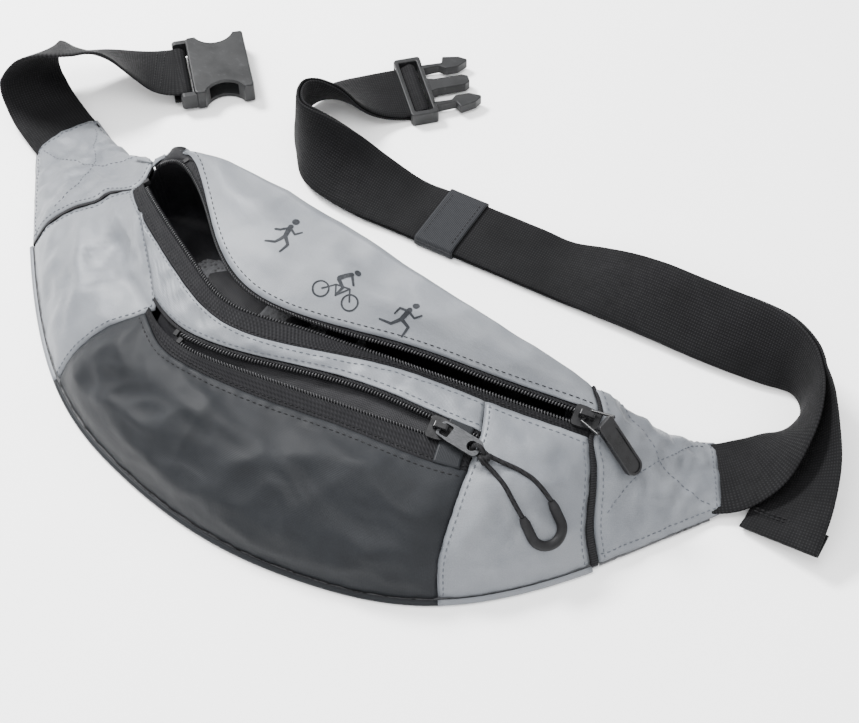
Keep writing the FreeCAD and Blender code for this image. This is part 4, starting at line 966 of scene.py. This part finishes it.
lining_rows = [inside("main_lip", 1.5), inside("strip_foot", 5.2), inside("pocket_lip", 12.2),
               inside("chest", 13.2), inside("belly", 15.2), on_floor("foot", 19.2),
               on_floor("rear", 6), inside("rear_mid", 4), inside("crown", 5),
               inside("upper_mid", 2.8), inside("upper_lip", 1.5)]
s = stations(0.5, 22.9, 0.2)
grid = crossed([row(s) for row in lining_rows], [4, 6, 6, 7, 5, 16, 8, 10, 4, 5], 0.5)
grid = closed_ends(grid, 7)
lining_grid = ruffled(grid, crease=0.5, crease_span=24, ripple=0.25, ripple_span=9,
                      edges=(-0.01, -0.01, 0, 0), puff_width=5, seed=83.0)
main_lining = cloth("main_lining_cloth", lining_grid, 0.5, LINING,
                    replaces=["main_lining"])
declare_sheet(lining_grid)

# ---------------------------------------------------------------- zips

MAIN_LOWER_START, POCKET_LOWER_START, POCKET_UPPER_START = 2, 7.6, 7


def tape(name, lip, edge, first, last, node, flip=False):
    s = stations(first, last)
    a, b = line(lip, s), line(edge, s)
    under = -skin_normal(lip, s) * 0.5
    names = (a + under, b)
    rows = names if not flip else names[::-1]
    grid = crossed([rows[0], rows[0] * 0.66 + rows[1] * 0.34, rows[1]], 4)
    grid = ruffled(grid, ripple=0.12, ripple_span=6, seed=97.0)
    piece = cloth(name, grid, TAPE_THICK, TAPE, replaces=[node])
    path, normal = inset_path(grid, "last" if flip else "first", 2.2)
    if len(path) > 3:
        stitches("pack", "black", path, normal, pitch=2.8, length=2.0, radius=0.2)
    return piece


tape("main_lower_tape", "main_lip", "main_coil", LEFT_END, RIGHT_END, "main_tape_lower")
tape("main_upper_tape", "upper_lip", "main_far_coil", 0.8, RIGHT_END,
     "main_tape_upper", flip=True)
tape("pocket_lower_tape", "pocket_lip", "pocket_coil", DARK_LEFT, DARK_RIGHT,
     "pocket_tape_lower")
tape("pocket_upper_tape", "strip_foot", "pocket_far_coil", DARK_LEFT, DARK_RIGHT,
     "pocket_tape_upper", flip=True)


def coil(name, edge_name, lip_name, first, last, node):
    """A helix of coil wire just past the free edge of the tape."""
    s = np.linspace(first, last, 400)
    edge, normal = line(edge_name, s), skin_normal(edge_name, s)
    away = unit(edge - line(lip_name, s))
    centre = edge + away * 0.95 - normal * 0.45
    travelled = np.concatenate([[0], np.cumsum(np.linalg.norm(np.diff(centre, axis=0), axis=1))])
    pitch, per_turn = 1.45, 12
    count = int(travelled[-1] / pitch * per_turn)
    at = np.linspace(0, travelled[-1], count)

    def pick(a):
        return np.stack([np.interp(at, travelled, a[:, k]) for k in range(3)], axis=1)
    angle = at / pitch * 2 * math.pi
    out, side = unit(pick(normal)), unit(pick(away))
    helix = (pick(centre) + side * (np.cos(angle) * 0.95)[:, None]
             + out * (np.sin(angle) * 0.62)[:, None])
    piece = tubes(name, [helix], 0.36, 5, COIL)
    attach(piece, "pack")
    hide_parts(node)
    core = tubes(name + "_core", [pick(centre)[::6]], 0.42, 6, TAPE)
    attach(core, "pack")
    return piece


coil("main_lower_coil", "main_coil", "main_lip", MAIN_LOWER_START, RIGHT_END,
     "main_coil_lower")
coil("main_upper_coil", "main_far_coil", "upper_lip", 1.4, RIGHT_END,
     "main_coil_upper")
coil("pocket_lower_coil", "pocket_coil", "pocket_lip", POCKET_LOWER_START, DARK_RIGHT,
     "pocket_coil_lower")
coil("pocket_upper_coil", "pocket_far_coil", "strip_foot", POCKET_UPPER_START, DARK_RIGHT,
     "pocket_coil_upper")

# End patch of the pocket zip. It is grey reflective fabric, drawn in the dark fabric look as painted
# shade so that its face toward the key light reads dim.
s = np.linspace(18.85, 19.75, 12)
rows = [line(n, s) for n in ("pocket_lip", "pocket_coil", "pocket_far_coil", "strip_foot")]
grid = crossed(rows, 5)
grid = grid + normals_of(grid) * 0.7
cloth("zip_end_patch_painted_shade", grid, 0.6, DARK, replaces=["pocket_zip_patch"])

# ---------------------------------------------------------------- wings

WING_ENDS = {
    "left": (0, np.array([(-208.2, 57.6, BACK), (-194.4, 97.4, BACK)], float)),
    "right": (STATIONS, np.array([(201, 58.6, BACK), (178.6, 94.8, BACK)], float)),
}
WING_LINES = SKIN[:6] + SKIN[8:]
END_RISE, SEAM_GAP, SLEEVE = 3.4, 0.5, 1.1


def wing_outward(side):
    station = WING_ENDS[side][0]
    seam = (line("rear", [station]) - line("foot", [station]))[0]
    outward = unit(np.array([seam[1], -seam[0], 0.0]))
    return outward if side == "right" else -outward


def wing_rows(side, reach):
    """Rows of the wing's skin from the foot line to the rear line, at the given reaches."""
    station, (low, high) = WING_ENDS[side]
    rows = []
    for share, name in enumerate(WING_LINES):
        start = line(name, [station])[0] + wing_outward(side) * SEAM_GAP
        fraction = share / (len(WING_LINES) - 1)
        rise = END_RISE * abs(math.sin(math.pi * fraction)) ** 0.3
        end = low + (high - low) * fraction + [0, 0, rise]
        r = reach[:, None]
        points = start + (end - start) * r
        points[:, 2] -= (start[2] - end[2]) * 0.55 * reach * np.maximum(1 - reach, 0)
        points[:, 2] = np.where(reach > 1, end[2], points[:, 2])
        points[:, 2] = np.maximum(points[:, 2], BACK)
        rows.append(points)
    return np.array(rows)


WING_FOLDS = {
    "left": [((-150, 30, 24), (-190, 62, 8), 4.0, 1.0), ((-138, 52, 34), (-180, 80, 10), 4.0, 1.0),
             ((-132, 62, 34), (-170, 86, 14), 3.0, -0.8)],
    "right": [((160, 30, 24), (186, 58, 8), 4.0, 0.9), ((148, 50, 34), (180, 76, 10), 4.0, 0.9),
              ((165, 24, 14), (190, 62, 6), 3.0, -0.8)],
}
wing_hinges = {}
for side in ("left", "right"):
    reach = np.linspace(0, SLEEVE, 34)
    if side == "left":
        reach = reach[::-1]
    rows = wing_rows(side, reach)
    gaps = np.linalg.norm(np.diff(rows, axis=0), axis=2).mean(axis=1)
    base = crossed(rows, [max(int(round(g / 1.8)), 2) for g in gaps])
    seam_col, end_col = (3, 2) if side == "left" else (2, 3)
    edges = [-0.3, -0.3, 0, 0]
    edges[seam_col] = -0.8
    edges[end_col] = -0.4
    grid = ruffled(base, puff=1.2, puff_width=5, crease=0.9, crease_span=15, ripple=0.45,
                   ripple_span=6, folds=WING_FOLDS[side], edges=edges, pucker=0.4,
                   seed=103.0 if side == "left" else 109.0)
    grid[..., 2] = np.maximum(grid[..., 2], BACK)
    inner = grid - normals_of(grid) * FABRIC
    inner[..., 2] = np.maximum(inner[..., 2], BACK - 0.2)
    wing = closed_mesh(side + "_wing_cloth", grid, inner, REFLECTIVE)
    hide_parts(side + "_wing")
    seam_side, end_side = ("right", "left") if side == "left" else ("left", "right")
    near, far = (0.93, 0.09) if side == "left" else (0.07, 0.91)
    body = side + "_wing"
    paths = [inset_path(grid, seam_side, 3.2), inset_path(grid, end_side, 2.6),
             inset_path(grid, "first", 4.0), inset_path(grid, "last", 4.0),
             index_path(grid, (0.16, near), (0.84, far)),
             index_path(grid, (0.84, near), (0.16, far))]
    for path, normal in paths:
        stitches(body, "grey", path, normal, pitch=2.9, length=2.0)
    low, high = rows[0][reach <= 1], rows[-1][reach <= 1]
    pad = quilted(side + "_wing_pad", low, high, body, [side + "_wing_back"])
    wing_hinges[side] = (wing, pad)

# ---------------------------------------------------------------- belts

WEB_WIDTH, WEB_THICK, LAYER_GAP, BAR_RADIUS = 38.0, 1.8, 0.35, 1.6
HALF_WEB, HALF_THICK = WEB_WIDTH / 2, WEB_THICK / 2
WRAP, WRAP_STEPS = BAR_RADIUS + LAYER_GAP + HALF_THICK, 6
UP = np.array([0.0, 0, 1])


def spread(points, count):
    points = [np.asarray(p, float) for p in points]
    return list(crossed(np.array(points)[:, None, :], count)[:, 0])


def square_frames(centres, widths):
    """Stations of centre, unit width direction and unit thickness direction."""
    made, last = [], len(centres) - 1
    for i, (centre, width) in enumerate(zip(centres, widths)):
        ahead = unit(centres[min(i + 1, last)] - centres[max(i - 1, 0)])
        across = unit(width - ahead * np.dot(width, ahead))
        made.append((centre, across, np.cross(ahead, across)))
    return made


def wrap(centre, ahead, across, through, turn):
    """Half a turn of webbing round a bar, from the through side over the front to the back."""
    made = []
    for i in range(1, WRAP_STEPS + 1):
        angle = math.pi * i / WRAP_STEPS
        outward = through * math.cos(angle) + ahead * math.sin(angle)
        made.append((centre + outward * WRAP, across, outward * turn))
    return made


def webbing(name, made, body, nodes, look=None, half=HALF_WEB, thick=HALF_THICK):
    """Ribbed webbing through stations of centre, width and thickness directions."""
    centres = np.array([c for c, a, t in made])
    across = np.array([a for c, a, t in made])
    through = np.array([t for c, a, t in made])
    travelled = np.concatenate([[0], np.cumsum(np.linalg.norm(np.diff(centres, axis=0), axis=1))])
    fine = np.arange(0, travelled[-1], 0.7)
    smooth_centre = spline_rows(centres, travelled, fine)
    smooth_across = unit(spline_rows(across, travelled, fine))
    smooth_through = unit(spline_rows(through, travelled, fine))
    shares = np.array([-1, -0.96, -0.8, -0.55, -0.28, 0, 0.28, 0.55, 0.8, 0.96, 1])
    depth = np.array([0.35, 0.82, 1, 1, 1, 1, 1, 1, 1, 0.82, 0.35]) * thick
    ring_shares = np.concatenate([shares, shares[::-1]])
    ring_depth = np.concatenate([depth, -depth[::-1]])
    rib = np.where(np.arange(len(fine)) % 2 == 0, 0.10, -0.06)
    ribbed = ring_depth[None] + np.sign(ring_depth)[None] * rib[:, None]
    wander = 0.25 * np.sin(fine / 9.0) + 0.15 * np.sin(fine / 3.7 + 1.0)
    reach = half * ring_shares[None] + np.sign(ring_shares)[None] * wander[:, None] * 0.3
    verts = (smooth_centre[:, None] + smooth_across[:, None] * reach[..., None]
             + smooth_through[:, None] * ribbed[..., None])
    count, ring = verts.shape[:2]
    faces = []
    for i in range(count - 1):
        for j in range(ring):
            k = (j + 1) % ring
            faces.append((i * ring + j, (i + 1) * ring + j, (i + 1) * ring + k, i * ring + k))
    faces.append(tuple(range(ring)))
    faces.append(tuple((count - 1) * ring + j for j in reversed(range(ring))))
    uv = np.stack(np.broadcast_arrays(fine[:, None], (half * ring_shares)[None]), axis=-1)
    piece = add_mesh(name, verts.reshape(-1, 3), faces, look or WEBBING,
                     uv.reshape(-1, 2))
    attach(piece, body)
    if nodes:
        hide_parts(*nodes)
    return piece, smooth_centre, smooth_across, smooth_through


def spline_rows(values, knots, at):
    """Values read along smooth curves through rows at increasing knots."""
    slopes = np.gradient(values, knots, axis=0)
    i = np.clip(np.searchsorted(knots, at) - 1, 0, len(knots) - 2)
    h = (knots[i + 1] - knots[i])[:, None]
    t = ((at - knots[i])[:, None]) / h
    return (values[i] * (1 + 2 * t) * (1 - t) ** 2 + slopes[i] * h * t * (1 - t) ** 2
            + values[i + 1] * t * t * (3 - 2 * t) + slopes[i + 1] * h * t * t * (t - 1))


ROW_REACH, ROW_POINTS, BELT_PITCH, BELT_STITCH = 17, 40, 2.6, 1.9


def belt_stitches(body, middle, across, face, lift=1.0, radius=0.25):
    """A row of black stitches across a belt, on the side that face points to."""
    row = np.array([middle + across * w for w in np.linspace(-ROW_REACH, ROW_REACH, ROW_POINTS)])
    stitches(body, "black", row + face * lift, np.tile(face, (ROW_POINTS, 1)), BELT_PITCH,
             BELT_STITCH, radius)


SOCKET_BAR = np.array([-183, 152, 6.9])
SOCKET_AHEAD = unit(np.array([0.687, 0.727, 0]))
SOCKET_ACROSS = unit(np.array([0.727, -0.687, 0]))
SHORT_PATH = [((-201.9, 78.3, 4.1), (-0.33, -0.943, 0)), ((-216, 83.5, 4.3), (-0.31, -0.95, 0)),
              ((-232, 90, 7), (-0.27, -0.96, 0)), ((-243, 96, 17), (-0.2, -0.97, 0.05)),
              ((-240, 101, 29), (-0.12, -0.98, 0.15)), ((-231, 109, 33.5), (0.05, -0.9, 0.4)),
              ((-219, 121, 28), (0.33, -0.62, 0.7)), ((-207, 133, 18), (0.52, -0.72, 0.45)),
              ((-196, 141.6, 11.3), (0.66, -0.73, 0.12))]
short_end = SOCKET_BAR + UP * WRAP
centres = [np.array(p, float) for p, w in SHORT_PATH] + [short_end - SOCKET_AHEAD * 5, short_end]
widths = [np.array(w, float) for p, w in SHORT_PATH] + [SOCKET_ACROSS, SOCKET_ACROSS]
made = square_frames(spread(centres, 3), spread(widths, 3))
made[-1] = (short_end, SOCKET_ACROSS, np.cross(SOCKET_AHEAD, SOCKET_ACROSS))
turned = made[-1][2][2]
made += wrap(SOCKET_BAR, SOCKET_AHEAD, SOCKET_ACROSS, UP, turned)
tail_start = SOCKET_BAR - UP * WRAP
for reach in (3, 7):
    made.append((tail_start - SOCKET_AHEAD * reach, SOCKET_ACROSS, UP * -turned))
piece, c, a, t = webbing("left_belt_webbing", made, "left_belt", ["left_belt"])
for k in (11, 15):
    at = int(np.argmin(np.linalg.norm(c - (short_end - SOCKET_AHEAD * k), axis=1)))
    belt_stitches("left_belt", c[at], a[at], t[at] * np.sign(t[at][2]))

PLUG_BAR = np.array([-68, 217, 4.3])
PLUG_AHEAD = unit(np.array([0.67, 0.745, 0]))
PLUG_RIGHT = np.array([PLUG_AHEAD[1], -PLUG_AHEAD[0], 0])
LONG_PATH = [(199, 83, 4), (208, 94, 22), (213, 108, 50), (214, 122, 72), (210, 137, 86),
             (199, 147, 82), (179, 150, 56), (150, 150, 40), (118, 150, 30), (90, 150, 14),
             (66, 148.9, 0), (48, 147.6, 0), (30, 146.3, 0), (12, 145, 0), (-6, 143.7, 0),
             (-24, 142.4, 0), (-50, 139, 20), (-74, 137, 54), (-93, 143, 84), (-103, 157, 80),
             (-101, 174, 46), (-93, 188, 20), (-84, 199, 6)]
TAIL_PATH = [(218, 128, 78), (223, 113, 62), (228, 97, 46), (231, 80, 30), (232, 62, 14)]
FLOOR_GAP = 1.5


def raised(path, under):
    """Centres and width vectors of a belt that lies on its left edge on the floor."""
    centres, widths = [], []
    for i, (x, y, tilt) in enumerate(path):
        before, after = path[max(i - 1, 0)], path[min(i + 1, len(path) - 1)]
        ahead = unit(np.array([after[0] - before[0], after[1] - before[1], 0.0]))
        angle = math.radians(tilt)
        right = np.array([ahead[1], -ahead[0], 0])
        widths.append(right * math.cos(angle) + UP * math.sin(angle))
        rise = FLOOR_GAP + HALF_WEB * math.sin(angle) + (HALF_THICK + under) * math.cos(angle)
        centres.append(np.array([x, y, rise]))
    return centres, widths


LAYER_STEP = WEB_THICK + LAYER_GAP
centres, widths = raised(LONG_PATH, LAYER_STEP)
plug_top = PLUG_BAR + UP * WRAP
under_rail = [PLUG_BAR - PLUG_AHEAD * 12 + UP * 0.2, PLUG_BAR - PLUG_AHEAD * 5.8 + UP * 0.4]
centres = [np.array([190.3, 76.8, 4.1])] + centres + under_rail + [plug_top]
widths = [np.array([0.523, -0.852, 0])] + widths + [PLUG_RIGHT] * 3
made = square_frames(spread(centres, 3), spread(widths, 3))
made[-1] = (plug_top, PLUG_RIGHT, np.cross(PLUG_AHEAD, PLUG_RIGHT))
over = made[-1][2][2]
LEAVE = 3 * 5
doubled = [(c + t * LAYER_STEP, w, -t) for c, w, t in made[LEAVE:-6]]
tail_centres, tail_widths = raised(TAIL_PATH[::-1], 0)
join = doubled[0]
tail = square_frames(spread([join[0]] + tail_centres[::-1], 3),
                     spread([join[1]] + tail_widths[::-1], 3))[1:]
whole = made + wrap(PLUG_BAR, PLUG_AHEAD, PLUG_RIGHT, UP, over) + doubled[::-1] + tail
end_centre, end_across, end_through = tail[-1]
end_ahead = unit(tail[-1][0] - tail[-2][0])
webbing("right_belt_webbing", whole, "right_belt", ["right_belt"])
hem = [(end_centre - end_ahead * k - end_through * 1.75, end_across, end_through)
       for k in (12, 8, 4, 0.2)]
webbing("right_belt_hem", hem, "right_belt", [], thick=0.8)
upward = end_through * np.sign(end_through[2])
for k in (9.5, 11.0):
    belt_stitches("right_belt", end_centre - end_ahead * k, end_across, upward)

# ---------------------------------------------------------------- keeper

KEEPER_X, KEEPER_LONG, KEEPER_TOP = 4.0, 22.0, 1.36
flat_part = [np.array([x, y, 0.0]) for x, y, tilt in LONG_PATH if tilt == 0]
belt_run = unit(flat_part[0] - flat_part[-1])
spot = flat_part[-1] + belt_run * ((KEEPER_X - flat_part[-1][0]) / belt_run[0])
spot = spot + UP * FLOOR_GAP
side_way = np.cross(belt_run, UP)
stack = 2 * WEB_THICK + LAYER_GAP


def loop_points(grow):
    """Points round a flat loop, grow millimetres outside the webbing stack."""
    half, low, high, turn = HALF_WEB + grow, -grow, stack + grow, 0.8 + grow
    points = []
    for cx, cz, first in ((half - turn, high - turn, 0), (-half + turn, high - turn, 90),
                          (-half + turn, low + turn, 180), (half - turn, low + turn, 270)):
        for k in range(6):
            angle = math.radians(first + 18 * k)
            points.append((cx + turn * math.cos(angle), cz + turn * math.sin(angle)))
    points.append(points[0])
    dense = []
    for (x0, z0), (x1, z1) in zip(points, points[1:]):
        steps = max(int(math.hypot(x1 - x0, z1 - z0) / 1.2), 1)
        dense += [(x0 + (x1 - x0) * k / steps, z0 + (z1 - z0) * k / steps) for k in range(steps)]
    return np.array(dense + [points[0]])


def keeper_grid(ring, height):
    columns = np.linspace(-KEEPER_LONG / 2, KEEPER_LONG / 2, 18)
    made = np.zeros((len(ring), len(columns), 3))
    for j, x in enumerate(columns):
        rolled = height * math.exp(-((abs(x) - KEEPER_LONG / 2 + 1.4) / 1.2) ** 2)
        middle = ring.mean(axis=0)
        outward = unit(ring - middle) * np.array([0.2, 1.0])
        moved = ring + outward * rolled
        made[:, j] = (spot + belt_run * x + side_way * moved[:, :1] + UP * moved[:, 1:])
    return made


outer_ring = loop_points(1.35)
inner_ring = loop_points(0.4)
resample = np.linspace(0, 1, len(outer_ring))
inner_ring = np.stack([np.interp(resample, np.linspace(0, 1, len(inner_ring)), inner_ring[:, k])
                       for k in range(2)], axis=1)
outer_grid = keeper_grid(outer_ring, 0.25)
keeper = closed_mesh("keeper_loop", outer_grid[::-1], keeper_grid(inner_ring, 0)[::-1],
                     ELASTIC)
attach(keeper, "keeper")
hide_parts("keeper")
for x in (-KEEPER_LONG / 2 + 2.8, KEEPER_LONG / 2 - 2.8):
    belt_stitches("keeper", spot + belt_run * x, side_way, UP, stack + KEEPER_TOP, 0.22)

# ---------------------------------------------------------------- pull cord

UPPER_ROUTE = [(119.0, 7.2, 44.4), (128.6, 9.6, 42.3), (137.8, 10.6, 38.4)]
LOWER_ROUTE = [(117.8, 2.2, 43.6), (126.2, 0.6, 40.0), (132.6, -2.6, 36.4)]
TIP_BAR = np.array([109.668, 4.871, 47.802])
KNOT_X, KNOT_Y = np.array([0.86817, -0.14003, -0.4761]), np.array([0.23995, 0.95821, 0.15574])
KNOT_Z = np.cross(KNOT_X, KNOT_Y)
CORD_RADIUS = 1.1

# The cord's loop passes through the tab's hole, and its knot is drawn up in three turns.
turns = np.linspace(0, 2 * math.pi, 40)
loop = [TIP_BAR + (KNOT_X * math.cos(v) + KNOT_Z * math.sin(v)) * 2.7 + KNOT_Y * 0.9 * math.sin(v)
        for v in turns]
wound = np.linspace(0, 3 * 2 * math.pi, 110)
centre = TIP_BAR + KNOT_X * 4.1
coils = [centre + KNOT_Y * (-2.3 + 4.6 * v / wound[-1])
         + (KNOT_X * math.cos(v) * 1.5 + KNOT_Z * math.sin(v) * 1.35) for v in wound]
ends = [[centre + KNOT_Y * -2.4 + KNOT_X * -0.4, centre + KNOT_Y * -0.6 + KNOT_Z * 1.9,
         centre + KNOT_Y * 1.4 + KNOT_Z * 2.2 + KNOT_X * 0.5, centre + KNOT_Y * 2.4 + KNOT_X * 1.0]]
knot = tubes("cord_knot", [loop, coils] + [np.array(spread(e, 6)) for e in ends], CORD_RADIUS * 0.98,
             10, CORD)
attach(knot, "pull_cord")
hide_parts("pull_knot")


def strand(name, points, node):
    """One strand of the pull cord on a smooth curve."""
    data = bpy.data.curves.new(name, "CURVE")
    data.dimensions = "3D"
    data.bevel_depth = CORD_RADIUS * MM
    data.bevel_resolution = 4
    data.resolution_u = 16
    path = data.splines.new("NURBS")
    path.points.add(len(points) - 1)
    for point, place in zip(path.points, points):
        point.co = (place[0] * MM, place[1] * MM, place[2] * MM, 1)
    path.order_u = 3
    path.use_endpoint_u = True
    path.use_smooth = True
    data.use_fill_caps = True
    data.materials.append(CORD)
    piece = bpy.data.objects.new(name, data)
    bpy.context.collection.objects.link(piece)
    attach(piece, "pull_cord")
    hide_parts(node)


strand("cord_upper", [(113.549, 5.940, 46.162)] + UPPER_ROUTE + [(145.512, 8.094, 34.210)],
       "pull_cord_upper")
strand("cord_lower", [(112.733, 2.682, 45.633)] + LOWER_ROUTE + [(139.224, -5.213, 32.654)],
       "pull_cord_lower")

# ---------------------------------------------------------------- panel prints

# Three small figures of plain strokes: (x, y, half width) runs in a unit square, and dots.
WALKER = {"strokes": [[(0.0, 0.30, 0.10), (0.02, -0.08, 0.085)],
                      [(0.0, 0.25, 0.05), (0.24, 0.08, 0.04), (0.40, 0.22, 0.035)],
                      [(0.0, 0.25, 0.05), (-0.20, 0.06, 0.04), (-0.36, 0.02, 0.035)],
                      [(0.02, -0.08, 0.075), (0.22, -0.30, 0.055), (0.14, -0.62, 0.04)],
                      [(0.02, -0.08, 0.075), (-0.16, -0.36, 0.055), (-0.44, -0.44, 0.04)]],
          "dots": [(0.04, 0.52, 0.13)], "rings": []}
RIDER = {"strokes": [[(-0.42, -0.30, 0.03), (-0.12, -0.02, 0.03), (0.30, 0.02, 0.03),
                      (0.46, -0.30, 0.03)],
                     [(-0.12, -0.02, 0.03), (0.02, -0.30, 0.03), (0.30, 0.02, 0.03)],
                     [(-0.12, 0.18, 0.09), (0.14, 0.44, 0.08)],
                     [(0.14, 0.42, 0.05), (0.34, 0.16, 0.04)],
                     [(-0.12, 0.14, 0.07), (0.10, -0.02, 0.055), (0.02, -0.30, 0.04)]],
         "dots": [(0.26, 0.60, 0.12)], "rings": [(-0.44, -0.32, 0.25), (0.48, -0.32, 0.25)]}
STRIDER = {"strokes": [[(0.06, 0.30, 0.10), (-0.02, -0.06, 0.085)],
                       [(0.06, 0.25, 0.05), (0.30, 0.16, 0.04), (0.46, 0.34, 0.035)],
                       [(0.06, 0.25, 0.05), (-0.22, 0.20, 0.04), (-0.28, -0.02, 0.035)],
                       [(-0.02, -0.06, 0.075), (0.28, -0.16, 0.055), (0.26, -0.50, 0.04)],
                       [(-0.02, -0.06, 0.075), (-0.22, -0.34, 0.055), (-0.58, -0.40, 0.04)]],
           "dots": [(0.14, 0.52, 0.13)], "rings": []}


def disc(x, y, radius, hole=0.0, sides=24):
    ring = [(x + radius * math.cos(2 * math.pi * k / sides),
             y + radius * math.sin(2 * math.pi * k / sides)) for k in range(sides)]
    inner = [(x + hole * math.cos(2 * math.pi * k / sides),
              y + hole * math.sin(2 * math.pi * k / sides)) for k in range(sides)]
    return ring, inner


def panel_print(name, figure, near, tall, turn):
    """Lays a figure on the upper panel, tall millimetres high, turned by turn degrees."""
    grid, facing = upper_grid, normals_of(upper_grid)
    middle = np.array(near, float)
    flat = grid.reshape(-1, 3)
    at = int(np.argmin(np.linalg.norm(flat - middle, axis=1)))
    origin, normal = flat[at], facing.reshape(-1, 3)[at]
    right = unit(np.cross([-0.05, 1, 0.35], normal))
    up = np.cross(normal, right)
    c, s_ = math.cos(math.radians(turn)), math.sin(math.radians(turn))
    right, up = right * c + up * s_, up * c - right * s_
    points, faces = [], []

    def settle(x, y):
        """A point of the figure, dropped onto the cloth."""
        p = origin + right * (x * tall) + up * (y * tall)
        gaps = np.linalg.norm(flat - p, axis=1)
        nearest = np.argsort(gaps)[:4]
        weight = 1 / np.maximum(gaps[nearest], 0.05)
        base = (flat[nearest] * weight[:, None]).sum(axis=0) / weight.sum()
        n = unit((facing.reshape(-1, 3)[nearest] * weight[:, None]).sum(axis=0))
        return p + n * (np.dot(base - p, n) + 0.16)

    def add_polygon(ring):
        start = len(points)
        points.extend(settle(x, y) for x, y in ring)
        faces.append(tuple(range(start, start + len(ring))))

    for run in figure["strokes"]:
        for (x0, y0, w0), (x1, y1, w1) in zip(run, run[1:]):
            length = math.hypot(x1 - x0, y1 - y0)
            nx, ny = -(y1 - y0) / length, (x1 - x0) / length
            for k in range(4):
                f, g = k / 4, (k + 1) / 4
                xa, ya, wa = x0 + (x1 - x0) * f, y0 + (y1 - y0) * f, (w0 + (w1 - w0) * f) * 0.8
                xb, yb, wb = x0 + (x1 - x0) * g, y0 + (y1 - y0) * g, (w0 + (w1 - w0) * g) * 0.8
                add_polygon([(xa - nx * wa, ya - ny * wa), (xb - nx * wb, yb - ny * wb),
                             (xb + nx * wb, yb + ny * wb), (xa + nx * wa, ya + ny * wa)])
        for x, y, w in run:
            ring, inner = disc(x, y, w * 0.8, sides=12)
            add_polygon(ring)
    for x, y, r in figure["dots"]:
        ring, inner = disc(x, y, r * 0.85)
        add_polygon(ring)
    for x, y, r in figure["rings"]:
        ring, inner = disc(x, y, r, r - 0.05)
        for k in range(len(ring)):
            m = (k + 1) % len(ring)
            add_polygon([inner[k], ring[k], ring[m], inner[m]])
    piece = add_mesh(name, np.array(points), faces, PRINT, smooth=False)
    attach(piece, "pack")


panel_print("print_walker", WALKER, (-29, 49, 60), 16.5, 4)
panel_print("print_rider", RIDER, (9, 43, 57), 17.0, 0)
panel_print("print_strider", STRIDER, (42, 46, 54), 15.5, -4)

# ---------------------------------------------------------------- stitches, wings and metal

THREADS = {"grey": (GREY_THREAD, "reflective_fabric"), "black": (BLACK_THREAD, "dark_fabric")}
sewn_pieces = {}
for (body, thread), rows in stitch_store.items():
    radius = rows[0][1]
    look, slot_name = THREADS[thread]
    piece = tubes(f"{body}_{thread}_stitches", [r[0] for r in rows], radius, 5, look)
    if body in ("left_wing", "right_wing"):
        sewn_pieces[body] = piece
    else:
        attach(piece, body)
for side, (wing, pad) in wing_hinges.items():
    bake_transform(wing)
    if side + "_wing" in sewn_pieces:
        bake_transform(sewn_pieces[side + "_wing"])

FINISHES = {
    PLASTIC: ["buckle_socket", "buckle_plug", "prong_left", "prong_right"],
    METAL: ["main_slider", "main_bail", "main_puller", "pocket_slider"],
    TAB: ["pocket_tab"],
    RUBBER: ["pull_grip", "main_stop_lower", "main_stop_upper", "pocket_stop_lower",
             "pocket_stop_upper"],
}
for look, names in FINISHES.items():
    for name in names:
        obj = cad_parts[name]
        if not obj.material_slots:
            obj.data.materials.append(look)
        for slot in obj.material_slots:
            slot.material = look

bpy.ops.mesh.primitive_plane_add(size=6.0, location=(0, 0, -0.0002))
floor = bpy.context.object
floor.name = "floor"
floor.data.materials.append(make_floor())
